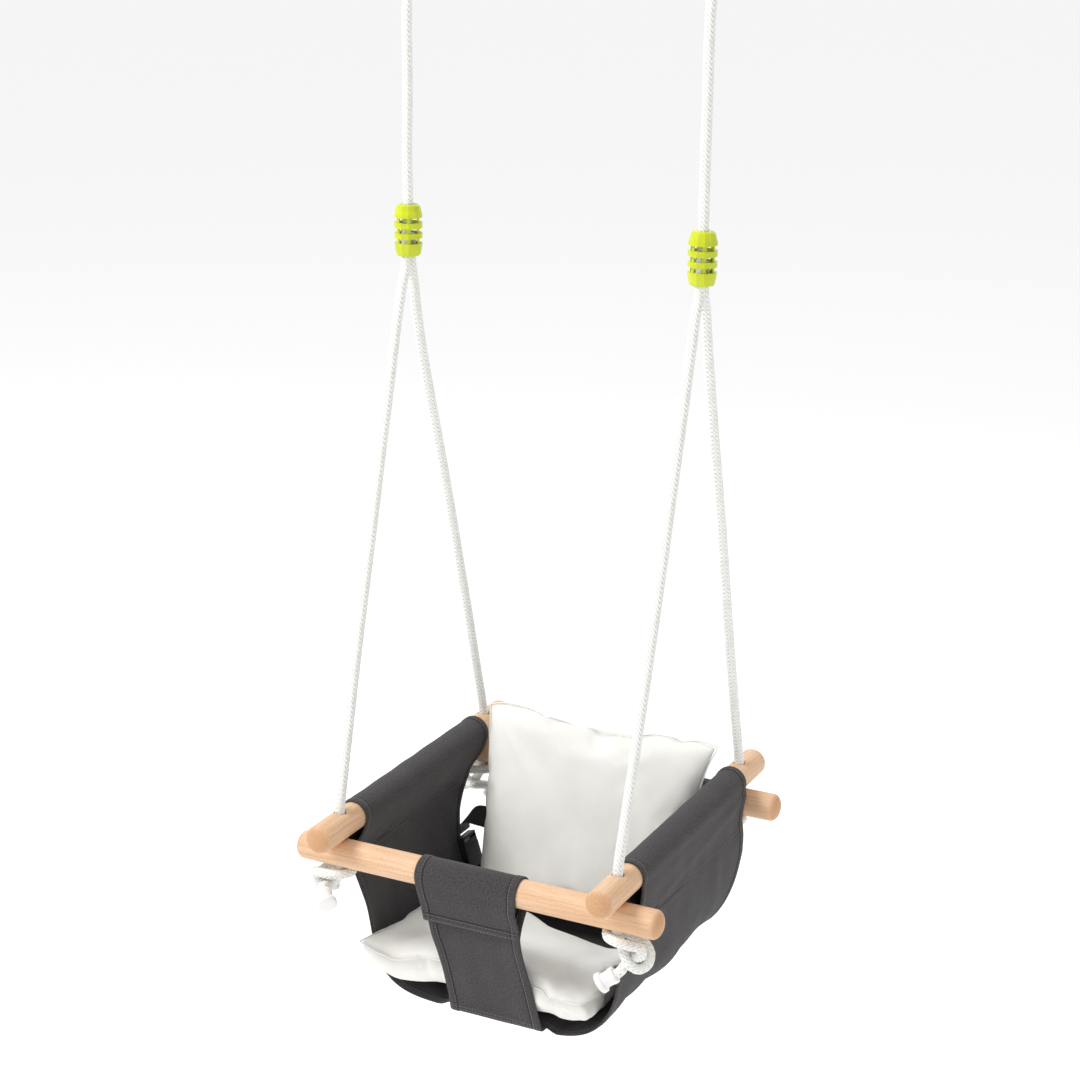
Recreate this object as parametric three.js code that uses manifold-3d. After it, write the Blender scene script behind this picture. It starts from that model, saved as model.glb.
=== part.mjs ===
// Toddler bucket swing: a square of four beech rods hung on two rope pairs, with a canvas sling seat,
// two loose cushions, a webbing belt and two slotted rope adjusters. Millimetres, +Z up, front at -Y.
// The origin is midway between the two hanging rings, on the axis that the swing turns about.
// Everything below the rings is laid out in seat coordinates, whose zero is the centre of the rod square
// at the height of the side rods' axes, and one group then lowers it under the origin.
import * as THREE from 'three';
import { mergeVertices } from 'three/addons/utils/BufferGeometryUtils.js';
import Module from 'manifold-3d';

const wasm = await Module();
wasm.setup();

// ---- driving dimensions ----
const HANG_HEIGHT = 925;        // hanging axis above the side rods' axes
const HANG_X = 162;             // half the spacing of the two hanging points
const ROPE_R = 5;
const GAP = 0.3;                // clearance between pieces that touch

const ROD_R = 15;
const ROD_LENGTH = 415;
const ROD_DOME = 7;             // height of a rod's domed end
const HOLE = 158;               // half the spacing of the rope holes, both ways
const HOLE_R = 6.6;
const CROSS_Z = -(2 * ROD_R + GAP);   // the cross rods pass under the side rods

const CANVAS = 2;               // thickness of a hemmed canvas panel
const TUNNEL_R = ROD_R + 0.5 + CANVAS / 2;
const TUNNEL_FRONT = -132;      // ends of the side tunnels along the side rods
const TUNNEL_REAR = 138;
const SIDE_SEAM = -54;          // height of the side tunnels' seams
const SLING_HALF_WIDTH = 170;
const SLING_TOP = -40;          // where the sling starts to curve in
const SLING_DEPTH = 158;        // from there down to its lowest line
const SLING_POWER = 3.2;        // squareness of the sling's section
const SLING_FRONT = -135;
const SLING_REAR = 128;

const FRONT_HALF_WIDTH = 143;   // the sling is narrower and squarer at its front edge
const FRONT_DEPTH = 157;
const FRONT_POWER = 6;
const FRONT_FLARE = 27;         // and opens out to the side rods at its top
const SIDE_BELLY = 6;           // how far a side panel's rear edge bulges
const HOOK_GAP = 0.9;           // under the sling, where the front and back panels are sewn on

const CUSHION_WIDTH = 276;
const CUSHION_DEPTH = 204;
const CUSHION_HALF_THICK = 27;
const CUSHION_PULL = 0.09;
const SEAT_CUSHION = { x: -4, front: -150, frontZ: -141, rearZ: -178, curl: 0.0016, over: 25, under: 34, short: 52 };
const STRIP_SHIFT = 14;         // how far the front strip leans to the right
const BACK_CUSHION = { x: 5, y: 94, z: -64, lean: 17, height: 218, taper: 0.14 };

const WEBBING_WIDTH = 24;
const WEBBING = 1.5;
const BUCKLE = { x: -145.3, y: 98, z: -123.7 };   // the socket's mouth
const BUCKLE_TILT = 17.6;

const TAIL_LENGTH = 31;         // of a knot's tail, from the knot's middle
const CAP_DEPTH = 9;            // how far a tail goes into its cap

const ADJUSTER_BOTTOM = 570;
const ADJUSTER_LENGTH = 52;
const BARREL_R = 14.5;
const RIB_R = 12.2;
const BARREL_BORE = 10.9;
const WINDOW_ROWS = [[12.8, 17.8], [23.2, 28.2], [33.8, 38.8]];
const WINDOWS = 6;              // windows in a row
const WINDOW_WIDTH = 8.4;

const RING_R = 28;              // ring of round wire
const WIRE_R = 3.5;
const EYE_R = 20;               // rope centre line round the thimble
const FERRULE_TOP = -46;        // below the hanging axis
const FERRULE_BOTTOM = -70;
const LEG = ROPE_R + 0.35;      // half the spacing of two ropes lying side by side

// ---- materials ----
const finish = (color, roughness, metalness = 0) =>
  new THREE.MeshStandardMaterial({ color, roughness, metalness });
const BEECH = finish(0xe1b48c, 0.55);
const ROPE = finish(0xeeeeea, 0.8);
const WHITE_PLASTIC = finish(0xf4f4f2, 0.4);
const GREEN_PLASTIC = finish(0xc6d820, 0.35);
const CHARCOAL = finish(0x454244, 0.9);
const CREAM = finish(0xf0efe8, 0.9);
const BLACK_WEBBING = finish(0x18181a, 0.8);
const BLACK_PLASTIC = finish(0x121214, 0.4);
const STEEL = finish(0xb8babd, 0.3, 1);

// ---- helpers ----
const V = (x, y, z) => new THREE.Vector3(x, y, z);
const UP = V(0, 0, 1);
const lerp = THREE.MathUtils.lerp;
const clamp01 = (value) => Math.max(0, Math.min(1, value));
const stations = (count, make) => Array.from({ length: count + 1 }, (_, k) => make(k / count));

function toManifold(geometry) {
  const bare = geometry.clone();
  bare.deleteAttribute('normal');
  bare.deleteAttribute('uv');
  const merged = mergeVertices(bare, 1e-3);
  return new wasm.Manifold(new wasm.Mesh({
    numProp: 3,
    vertProperties: new Float32Array(merged.attributes.position.array),
    triVerts: new Uint32Array(merged.index.array),
  }));
}

function fromManifold(solid) {
  const mesh = solid.getMesh();
  const geometry = new THREE.BufferGeometry();
  geometry.setAttribute('position', new THREE.BufferAttribute(new Float32Array(mesh.vertProperties), 3));
  geometry.setIndex(new THREE.BufferAttribute(new Uint32Array(mesh.triVerts), 1));
  return geometry;
}

// a solid of revolution about +Z from [radius, height] points
function lathe(points, segments) {
  const profile = points.map(([r, z]) => new THREE.Vector2(r, z));
  return new THREE.LatheGeometry(profile, segments).rotateX(Math.PI / 2);
}

function cylinder(radius, z0, z1, segments = 16) {
  return lathe([[0, z0], [radius, z0], [radius, z1], [0, z1]], segments);
}

// turn a shape made along +Z so that it points along a direction, and move it
function aim(geometry, direction, at) {
  const turn = new THREE.Quaternion().setFromUnitVectors(UP, direction.clone().normalize());
  return geometry.applyQuaternion(turn).translate(at.x, at.y, at.z);
}

function tube(points, radius, steps, sides = 10) {
  const circle = new THREE.Shape();
  circle.absarc(0, 0, radius, 0, 2 * Math.PI, false);
  const path = new THREE.CatmullRomCurve3(points.map((p) => V(...p)), false, 'centripetal');
  return new THREE.ExtrudeGeometry(circle, {
    steps, extrudePath: path, curveSegments: sides / 2, bevelEnabled: false,
  });
}

// a closed sheet of even thickness: grid[i][j] are the points of its middle surface
function sheet(grid, thickness) {
  const rows = grid.length;
  const cols = grid[0].length;
  const clampTo = (value, top) => Math.max(0, Math.min(top, value));
  const positions = [];
  for (const side of [1, -1]) {
    for (let i = 0; i < rows; i++) {
      for (let j = 0; j < cols; j++) {
        const along = grid[clampTo(i + 1, rows - 1)][j].clone().sub(grid[clampTo(i - 1, rows - 1)][j]);
        const across = grid[i][clampTo(j + 1, cols - 1)].clone().sub(grid[i][clampTo(j - 1, cols - 1)]);
        const normal = along.cross(across).normalize();
        const p = grid[i][j].clone().addScaledVector(normal, side * thickness / 2);
        positions.push(p.x, p.y, p.z);
      }
    }
  }
  const index = [];
  const at = (layer, i, j) => (layer * rows + i) * cols + j;
  const quad = (a, b, c, d) => index.push(a, b, c, a, c, d);
  for (let i = 0; i < rows - 1; i++) {
    for (let j = 0; j < cols - 1; j++) {
      quad(at(0, i, j), at(0, i + 1, j), at(0, i + 1, j + 1), at(0, i, j + 1));
      quad(at(1, i, j), at(1, i, j + 1), at(1, i + 1, j + 1), at(1, i + 1, j));
    }
    quad(at(0, i, 0), at(1, i, 0), at(1, i + 1, 0), at(0, i + 1, 0));
    quad(at(0, i, cols - 1), at(0, i + 1, cols - 1), at(1, i + 1, cols - 1), at(1, i, cols - 1));
  }
  for (let j = 0; j < cols - 1; j++) {
    quad(at(0, 0, j), at(0, 0, j + 1), at(1, 0, j + 1), at(1, 0, j));
    quad(at(0, rows - 1, j), at(1, rows - 1, j), at(1, rows - 1, j + 1), at(0, rows - 1, j + 1));
  }
  const geometry = new THREE.BufferGeometry();
  geometry.setAttribute('position', new THREE.BufferAttribute(new Float32Array(positions), 3));
  geometry.setIndex(index);
  return geometry;
}

const seat = new THREE.Group();
const swing = new THREE.Group();
swing.add(seat);

function piece(group, name, geometry, material) {
  const mesh = new THREE.Mesh(geometry, material);
  mesh.name = name;
  group.add(mesh);
  return mesh;
}

const SIDES = [['left', -1], ['right', 1]];

// ---- beech rods ----
// a rod along +Z with domed ends
function rod() {
  const half = ROD_LENGTH / 2;
  const domeR = (ROD_R ** 2 + ROD_DOME ** 2) / (2 * ROD_DOME);
  const dome = [];
  for (let k = 0; k <= 4; k++) {
    const r = ROD_R * k / 4;
    dome.push([r, half - domeR + Math.sqrt(domeR ** 2 - r ** 2)]);
  }
  const lower = dome.map(([r, z]) => [r, -z]);
  return lathe([...lower, ...dome.reverse()], 24);
}

function drilledRod(direction, at, holes) {
  let solid = toManifold(aim(rod(), direction, at));
  for (const [x, y] of holes) {
    const drill = cylinder(HOLE_R, at.z - 2 * ROD_R, at.z + 2 * ROD_R).translate(x, y, 0);
    solid = solid.subtract(toManifold(drill));
  }
  return fromManifold(solid);
}

for (const [side, s] of SIDES) {
  const holes = [[s * HOLE, -HOLE], [s * HOLE, HOLE]];
  piece(seat, `side_rod_${side}`, drilledRod(V(0, 1, 0), V(s * HOLE, 0, 0), holes), BEECH);
}
for (const [name, y] of [['front_rod', -HOLE], ['rear_rod', HOLE]]) {
  piece(seat, name, drilledRod(V(1, 0, 0), V(0, y, CROSS_Z), [[-HOLE, y], [HOLE, y]]), BEECH);
}

// ---- canvas ----
// height of the sling's middle surface at a distance x from the centre line
function slingZ(x) {
  const t = Math.min(1, Math.abs(x) / SLING_HALF_WIDTH);
  return SLING_TOP - SLING_DEPTH * (1 - t ** SLING_POWER) ** (1 / SLING_POWER);
}

// points of a canvas tunnel round a rod, from its inner side over the top to its outer side
function tunnelArc(rodAcross, rodZ) {
  const points = [];
  for (let angle = 200; angle >= -20; angle -= 20) {
    const a = THREE.MathUtils.degToRad(angle);
    points.push([rodAcross + TUNNEL_R * Math.cos(a), rodZ + TUNNEL_R * Math.sin(a)]);
  }
  return points;
}

// a point on a quarter of a squared ellipse, from its side at 0 degrees to its lowest point at 90
function squared(angle, halfWidth, depth, power) {
  const a = THREE.MathUtils.degToRad(angle);
  return [halfWidth * Math.cos(a) ** (2 / power), SLING_TOP - depth * Math.sin(a) ** (2 / power)];
}

// half of the sling's section as [x, z], from the tunnel's inner hem to the centre line
function slingHalf(hanging) {
  const points = [[HOLE + 8.5, SIDE_SEAM], [HOLE + 1, SIDE_SEAM + 14], [HOLE - 9, SIDE_SEAM + 30]];
  points.push(...tunnelArc(HOLE, 0), [HOLE + 14.5, SLING_TOP / 2]);
  for (let angle = 0; angle <= 90; angle += 9) points.push(hanging(angle));
  return points;
}

const wholeSection = (half) => [...half, ...half.slice(0, -1).reverse().map(([x, z]) => [-x, z])];
const rearSection = wholeSection(slingHalf((angle) => squared(angle, SLING_HALF_WIDTH, SLING_DEPTH, SLING_POWER)));
const frontSection = wholeSection(slingHalf((angle) => {
  const [x, z] = squared(angle, FRONT_HALF_WIDTH, FRONT_DEPTH, FRONT_POWER);
  return [x + FRONT_FLARE * Math.min(1, Math.exp((z - SIDE_SEAM) / 28)) * x / FRONT_HALF_WIDTH, z];
}));

function sling() {
  const bottom = slingZ(0);
  return sheet(rearSection.map(([rearX, rearZ], k) => {
    const drop = THREE.MathUtils.smoothstep(-rearZ, -SIDE_SEAM, -bottom);
    const belly = SIDE_BELLY * Math.sin(Math.PI * clamp01((rearZ - SIDE_SEAM) / (bottom - SIDE_SEAM)));
    const front = lerp(TUNNEL_FRONT, SLING_FRONT, drop);
    const rear = lerp(TUNNEL_REAR, SLING_REAR, drop) + belly;
    return stations(6, (t) => {
      const narrowing = (1 - t) ** 2;
      const x = lerp(rearX, frontSection[k][0], narrowing);
      return V(x, lerp(front, rear, t), lerp(rearZ, frontSection[k][1], narrowing));
    });
  }), CANVAS);
}

// a panel that wraps over a cross rod, hangs down and hooks under the sling's edge: rows are
// [distance from the centre plane, z, half width, how far it follows the sling's curve]
function crossPanel(direction, rows, shift, columns) {
  const centreZ = slingZ(0);
  const lowest = rows[rows.length - 1][1];
  return sheet(rows.map(([out, z, halfWidth, follow]) => stations(columns, (t) => {
    const lean = shift * clamp01((z - CROSS_Z) / (lowest - CROSS_Z));
    const x = lerp(-halfWidth, halfWidth, direction < 0 ? t : 1 - t) + lean;
    return V(x, direction * out, z + follow * (slingZ(x) - centreZ));
  })), CANVAS);
}

const hookZ = SLING_TOP - SLING_DEPTH - CANVAS - HOOK_GAP;
const over = (halfWidth) => tunnelArc(HOLE, CROSS_Z).map(([out, z]) => [out, z, halfWidth, 0]);
const frontRows = [
  [HOLE + 6, -76, 55, 0], [HOLE - 1, -62, 58, 0], [HOLE - 11, -47, 60, 0], ...over(61),
  [HOLE + 13.5, -52, 59, 0], [HOLE + 8.8, -76, 55.5, 0], [HOLE + 7.8, -80, 54.5, 0],
  [HOLE + 6.8, -84, 53.5, 0], [HOLE, -112, 53, 0], [HOLE - 10, -150, 53, 0], [HOLE - 17, -179, 53, 0.2],
  [-SLING_FRONT + 3.4, -191, 53, 0.4], [-SLING_FRONT + 2.2, hookZ + 1.8, 53, 0.4],
  [-SLING_FRONT - 1, hookZ, 53, 0.4], [-SLING_FRONT - 9, hookZ, 53, 0.4], [-SLING_FRONT - 18, hookZ - 0.6, 53, 0.4],
];
const backRows = [
  [HOLE + 4, -80, 131, 0], [HOLE - 2, -64, 134, 0], [HOLE - 11, -47, 136, 0], ...over(136),
  [HOLE + 13.5, -54, 135, 0], [HOLE + 7, -80, 131, 0], [HOLE, -108, 124, 0], [HOLE - 10, -146, 114, 0],
  [HOLE - 20, -178, 106, 0.5], [SLING_REAR + 5, -193, 102, 1], [SLING_REAR + 4, hookZ + 2.6, 101, 1],
  [SLING_REAR + 0.5, hookZ, 101, 1], [SLING_REAR - 12, hookZ, 101, 1], [SLING_REAR - 24, hookZ, 101, 1],
];

piece(seat, 'seat_sling', sling(), CHARCOAL);
piece(seat, 'front_strip', crossPanel(-1, frontRows, STRIP_SHIFT, 6), CHARCOAL);
piece(seat, 'back_panel', crossPanel(1, backRows, 0, 10), CHARCOAL);

// ---- cushions ----
// a pillow whose two faces meet at a seam; place(u, v, h) maps its plane and thickness into the seat
function pillow(cells, place) {
  const positions = [];
  const index = [];
  const spread = (k) => Math.sin(Math.PI * (k / cells - 0.5));
  const vertex = new Map();
  const at = (side, i, j) => {
    const onSeam = i === 0 || j === 0 || i === cells || j === cells;
    const key = `${onSeam ? 0 : side},${i},${j}`;
    if (!vertex.has(key)) {
      const u = spread(i);
      const v = spread(j);
      const crown = onSeam ? 0 : Math.sqrt((1 - u ** 4) * (1 - v ** 4));
      const p = place(u, v, side * crown);
      vertex.set(key, positions.length / 3);
      positions.push(p.x, p.y, p.z);
    }
    return vertex.get(key);
  };
  for (const side of [1, -1]) {
    for (let i = 0; i < cells; i++) {
      for (let j = 0; j < cells; j++) {
        const ring = [at(side, i, j), at(side, i + 1, j), at(side, i + 1, j + 1), at(side, i, j + 1)];
        const [a, b, c, d] = side > 0 ? ring : ring.reverse();
        index.push(a, b, c, a, c, d);
      }
    }
  }
  const geometry = new THREE.BufferGeometry();
  geometry.setAttribute('position', new THREE.BufferAttribute(new Float32Array(positions), 3));
  geometry.setIndex(index);
  return geometry;
}

// the seam pulls in between the corners
const pulled = (along, across) => along * (1 - CUSHION_PULL * Math.abs(along) * (1 - across ** 4));

// the seat cushion tilts back, is shorter on its right, and lies on the sling
const seatCushion = pillow(12, (u, v, crown) => {
  const { x: middle, front, frontZ, rearZ, curl, over: high, under: low, short } = SEAT_CUSHION;
  const x = pulled(u, v) * CUSHION_WIDTH / 2 + middle;
  const back = (pulled(v, u) + 1) / 2;
  const depth = CUSHION_DEPTH - short * THREE.MathUtils.smoothstep(x, -70, 100);
  const seam = lerp(frontZ, rearZ, back) + curl * x ** 2 * back;
  const z = seam + crown * (crown > 0 ? high : low);
  return V(x, front + depth * back, Math.max(z, slingZ(x) + 2 * CANVAS));
});
piece(seat, 'seat_cushion', seatCushion, CREAM);

const lean = THREE.MathUtils.degToRad(BACK_CUSHION.lean);
const alongBack = V(0, Math.sin(lean), Math.cos(lean));
const outOfBack = V(0, -Math.cos(lean), Math.sin(lean));
const backCushion = pillow(12, (u, v, crown) => {
  const taper = 1 - BACK_CUSHION.taper * clamp01(-v);
  return V(BACK_CUSHION.x + pulled(u, v) * taper * CUSHION_WIDTH / 2, BACK_CUSHION.y, BACK_CUSHION.z)
    .addScaledVector(alongBack, pulled(v, u) * BACK_CUSHION.height / 2)
    .addScaledVector(outOfBack, crown * CUSHION_HALF_THICK);
});
piece(seat, 'back_cushion', backCushion, CREAM);

// ---- belt ----
// webbing along a path of [x, y, z, width direction as y, z]
function webbing(path) {
  return sheet(path.map(([x, y, z, wy, wz]) => {
    const across = V(0, wy, wz).normalize().multiplyScalar(WEBBING_WIDTH / 2);
    return [V(x, y, z).sub(across), V(x, y, z).add(across)];
  }), WEBBING);
}
piece(seat, 'belt_long', webbing([
  [161, 118, -106, 0, 1], [150, 130, -107, 0, 1], [120, 136, -109, 0, 1], [60, 137, -112, 0, 1],
  [0, 137, -112, 0, 1], [-60, 137, -111, 0, 1], [-110, 133, -107, 0, 1], [-128, 126, -101, 0.25, 1],
  [-139, 116, -94, 0.6, 0.8], [-147, 106, -91, 0.9, 0.45], [-151, 100, -97, 1, 0.1], [-150, 98, -108, 1, 0],
]), BLACK_WEBBING);
piece(seat, 'belt_short', webbing([
  [-134.5, 98, -159, 1, 0], [-130, 98, -167, 1, 0], [-122, 98, -176, 1, 0],
  [-110, 98, -182, 1, 0], [-97, 98, -186.6, 1, 0],
]), BLACK_WEBBING);

// the buckle stands with its plug on top; a block is given by its half thickness, its width and its height range
function block(halfX, y0, y1, z0, z1) {
  return toManifold(new THREE.BoxGeometry(2 * halfX, y1 - y0, z1 - z0)
    .translate(0, (y0 + y1) / 2, (z0 + z1) / 2));
}
const inBuckle = (solid) => fromManifold(solid)
  .rotateY(THREE.MathUtils.degToRad(-BUCKLE_TILT))
  .translate(BUCKLE.x, BUCKLE.y, BUCKLE.z);

const socket = block(4.7, -14.5, 14.5, -32, 0)
  .subtract(block(3.2, -12.3, 12.3, -22, 1))
  .subtract(block(3.2, -15, 15, -17, -9))
  .subtract(block(6, -13, 13, -29.5, -26.5));
piece(seat, 'buckle_socket', inBuckle(socket), BLACK_PLASTIC);

let plug = block(4.5, -14, 14, GAP, 12).subtract(block(6, -13, 13, 6, 9));
plug = plug.add(block(1.8, -2, 2, -19, 1));
for (const s of [-1, 1]) {
  const inner = s * 8;
  const outer = s * 12;
  plug = plug.add(block(2.8, Math.min(inner, outer), Math.max(inner, outer), -20, 1));
}
piece(seat, 'buckle_plug', inBuckle(plug), BLACK_PLASTIC);

// ---- ropes ----
// routes in seat coordinates for the left side as [distance out from the middle, y, z]
const LONG_ROUTE = {
  left: [
    [158, -158, -45.6], [158, -158, -20], [158, -158, 4], [158, -157.8, 16], [158, -154.8, 32],
    [158.3, -146, 68], [158.6, -136, 106], [158.8, -125.5, 148], [159.2, -114.5, 188], [159.6, -103, 228],
    [159.9, -91.5, 268], [160.2, -80, 308], [160.5, -69, 348], [160.8, -58, 388], [161.1, -46.5, 428],
    [161.4, -35.5, 468], [161.7, -24.5, 508], [161.9, -12.6, 544], [162, -5.9, 558], [162, -5.2, 567],
    [162, -5.35, 590], [162, -3, 602], [162, -0.3, 613], [162, 0, 624], [162.4, -0.5, 680],
    [161.8, 0.4, 740], [162, 0, 800], [162, 1.5, 828], [162, 4.6, 846], [162, 5.35, 856], [162, 5.35, 864.7],
  ],
  right: [
    [158, -158, -45.6], [158, -158, -20], [158, -158, 4], [158, -157.8, 16], [158, -154.4, 32],
    [158.3, -143, 68], [158.6, -131.5, 106], [158.8, -119, 148], [159.2, -107, 188], [159.6, -95.5, 228],
    [159.9, -84, 268], [160.2, -73, 308], [160.5, -62.5, 348], [160.8, -52, 388], [161.1, -41.5, 428],
    [161.4, -31.5, 468], [161.7, -21.5, 508], [161.9, -12.2, 544], [162, -5.9, 558], [162, -5.2, 567],
    [162, -5.35, 590], [162, -3, 602], [162, -0.3, 613], [162, 0, 624], [161.7, 0.5, 680],
    [162.3, -0.4, 740], [162, 0, 800], [162, 1.5, 828], [162, 4.6, 846], [162, 5.35, 856], [162, 5.35, 864.7],
  ],
};
const SHORT_ROUTE = {
  left: [
    [158, 158, -45.6], [158, 158, -20], [158, 158, 4], [158, 157.8, 16], [158, 154.6, 32],
    [158.3, 144.5, 68], [158.6, 134, 106], [158.8, 122.5, 148], [159.2, 111, 188], [159.6, 99.5, 228],
    [159.9, 88, 268], [160.2, 76, 308], [160.5, 63.5, 348], [160.8, 50.5, 388], [161.1, 37.5, 428],
    [161.4, 26, 468], [161.7, 16, 508], [161.9, 9.5, 544], [162, 6.0, 558], [162, 5.25, 567], [162, 5.35, 592],
  ],
  right: [
    [158, 158, -45.6], [158, 158, -20], [158, 158, 4], [158, 157.8, 16], [158, 154.2, 32],
    [158.3, 143, 68], [158.6, 132, 106], [158.8, 120, 148], [159.2, 109, 188], [159.6, 98, 228],
    [159.9, 87.5, 268], [160.2, 76.5, 308], [160.5, 65, 348], [160.8, 53, 388], [161.1, 41.5, 428],
    [161.4, 30.5, 468], [161.7, 20, 508], [161.9, 11.5, 544], [162, 6.0, 558], [162, 5.25, 567], [162, 5.35, 592],
  ],
};
// half of the eye round the thimble as [y, height over the hanging axis], from the ferrule to the top
const EYE_HALF = [
  [5.35, -60], [5.35, -52], [5.4, -45.5], [7.2, -38], [11, -28.5], [15.4, -17], [18.9, -6.5], [20, 1], [18.6, 7.5],
  [14.6, 13.7], [8, 18.3], [0, 20],
];

for (const [side, s] of SIDES) {
  const place = ([x, y, z]) => [s * x, y, z];
  piece(seat, `rope_${side}_long`, tube(LONG_ROUTE[side].map(place), ROPE_R, 48), ROPE);
  piece(seat, `rope_${side}_short`, tube(SHORT_ROUTE[side].map(place), ROPE_R, 34), ROPE);
  const eye = [...EYE_HALF, ...EYE_HALF.slice(0, -1).reverse().map(([y, z]) => [-y, z])];
  piece(swing, `rope_${side}_eye`, tube(eye.map(([y, z]) => [s * HANG_X, y, z]), ROPE_R, 30), ROPE);
}

// ---- knots and rope end caps ----
// the knot's tail runs from a place in it along a direction into the cap
const KNOTS = [
  { name: 'front_left', at: V(-165, -160, -65), from: V(-13.4, -8.1, 6.5), tail: V(0.64, -0.68, -0.35) },
  { name: 'front_right', at: V(165, -160, -65), from: V(12.7, 2.2, -11.8), tail: V(-0.746, -0.324, -0.582) },
  { name: 'rear_left', at: V(-163, 160, -65), from: V(0, 0, 0), tail: V(0.35, 0.35, -0.87) },
  { name: 'rear_right', at: V(154.5, 160, -66), from: V(0, 0, 0), tail: V(-0.2, 0.35, -0.9), size: [16.5, 15, 20] },
];
for (const { name, at, from, tail, size = [24, 15, 18.5] } of KNOTS) {
  const ball = new THREE.SphereGeometry(1, 14, 8).scale(...size).translate(at.x, at.y, at.z);
  const start = at.clone().add(from);
  const stub = aim(cylinder(ROPE_R, 0, TAIL_LENGTH, 12), tail, start);
  piece(seat, `knot_${name}`, fromManifold(toManifold(ball).add(toManifold(stub))), ROPE);

  const mouth = start.clone().addScaledVector(tail.clone().normalize(), TAIL_LENGTH + GAP - CAP_DEPTH);
  const cap = lathe([
    [0, CAP_DEPTH], [5.4, CAP_DEPTH], [5.4, 0], [8.6, 0], [8.6, 4.5], [7.2, 5.5], [7.2, 13], [9.8, 14.5],
    [9.8, 18.5], [8.6, 20], [0, 20],
  ], 16);
  piece(seat, `end_cap_${name}`, aim(cap, tail, mouth), WHITE_PLASTIC);
}

// ---- adjusters ----
function stadium(offset, radius) {
  const shape = new THREE.Shape();
  shape.absarc(offset, 0, radius, -Math.PI / 2, Math.PI / 2, false);
  shape.absarc(-offset, 0, radius, Math.PI / 2, 1.5 * Math.PI, false);
  return shape;
}

// extrude a section drawn with its long side along X, and turn that side to Y
function ovalBar(shape, z0, z1) {
  return new THREE.ExtrudeGeometry(shape, { depth: z1 - z0, bevelEnabled: false, curveSegments: 6 })
    .rotateZ(Math.PI / 2).translate(0, 0, z0);
}

function adjuster() {
  const shell = lathe([
    [0, 0], [11.9, 0], [12.7, 1.4], [13.3, 4.5], [BARREL_R, 12], [BARREL_R, 40], [12.6, 47.5],
    [11.6, 50.6], [9.8, ADJUSTER_LENGTH], [0, ADJUSTER_LENGTH],
  ], 12);
  let solid = toManifold(shell)
    .subtract(toManifold(cylinder(BARREL_BORE, 9, 46)))
    .subtract(toManifold(ovalBar(stadium(LEG, ROPE_R + 0.4), -1, 10)))
    .subtract(toManifold(cylinder(ROPE_R + 0.6, 45, ADJUSTER_LENGTH + 1)));
  for (const [z0, z1] of WINDOW_ROWS) {
    const groove = lathe([[RIB_R, z0], [BARREL_R + 3, z0], [BARREL_R + 3, z1], [RIB_R, z1], [RIB_R, z0]], 16);
    solid = solid.subtract(toManifold(groove));
    for (let k = 0; k < WINDOWS; k++) {
      const window = new THREE.BoxGeometry(BARREL_R, WINDOW_WIDTH, z1 - z0)
        .translate(BARREL_R, 0, (z0 + z1) / 2)
        .rotateZ(2 * Math.PI * (k + 0.5) / WINDOWS);
      solid = solid.subtract(toManifold(window));
    }
  }
  return fromManifold(solid);
}
for (const [side, s] of SIDES) {
  piece(seat, `adjuster_${side}`, adjuster().translate(s * HANG_X, 0, ADJUSTER_BOTTOM), GREEN_PLASTIC);
}

// ---- hanging fittings ----
function thimble() {
  const grooveR = ROPE_R + 0.35;
  const profile = [[5.4, -7], [18, -7]];
  for (let angle = -72; angle <= 72; angle += 24) {
    const a = THREE.MathUtils.degToRad(angle);
    profile.push([EYE_R - grooveR * Math.cos(a), grooveR * Math.sin(a)]);
  }
  profile.push([18, 7], [5.4, 7], [5.4, -7]);
  return lathe(profile, 24).rotateY(Math.PI / 2);
}

function ferrule() {
  const section = stadium(LEG, 7.6);
  section.holes.push(stadium(LEG, ROPE_R + 0.35));
  return ovalBar(section, FERRULE_BOTTOM, FERRULE_TOP);
}

for (const [side, s] of SIDES) {
  const ring = new THREE.TorusGeometry(RING_R, WIRE_R, 10, 28).rotateX(Math.PI / 2);
  piece(swing, `hanging_ring_${side}`, ring.translate(s * HANG_X, 0, RING_R), STEEL);
  piece(swing, `thimble_${side}`, thimble().translate(s * HANG_X, 0, 0), WHITE_PLASTIC);
  piece(swing, `ferrule_${side}`, ferrule().translate(s * HANG_X, 0, 0), STEEL);
}

seat.position.z = -HANG_HEIGHT;

export default swing;
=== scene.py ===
"""Looks of the toddler bucket swing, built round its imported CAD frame. Metres, +Z up, front at -Y.

Places are given in seat coordinates: zero is the centre of the rod square, at the height of the side rods'
axes. Every piece is made in them and then lowered by SEAT_Z into the frame's own coordinates.
"""
import math

import bpy
import numpy as np
from mathutils import Matrix, Vector


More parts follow.
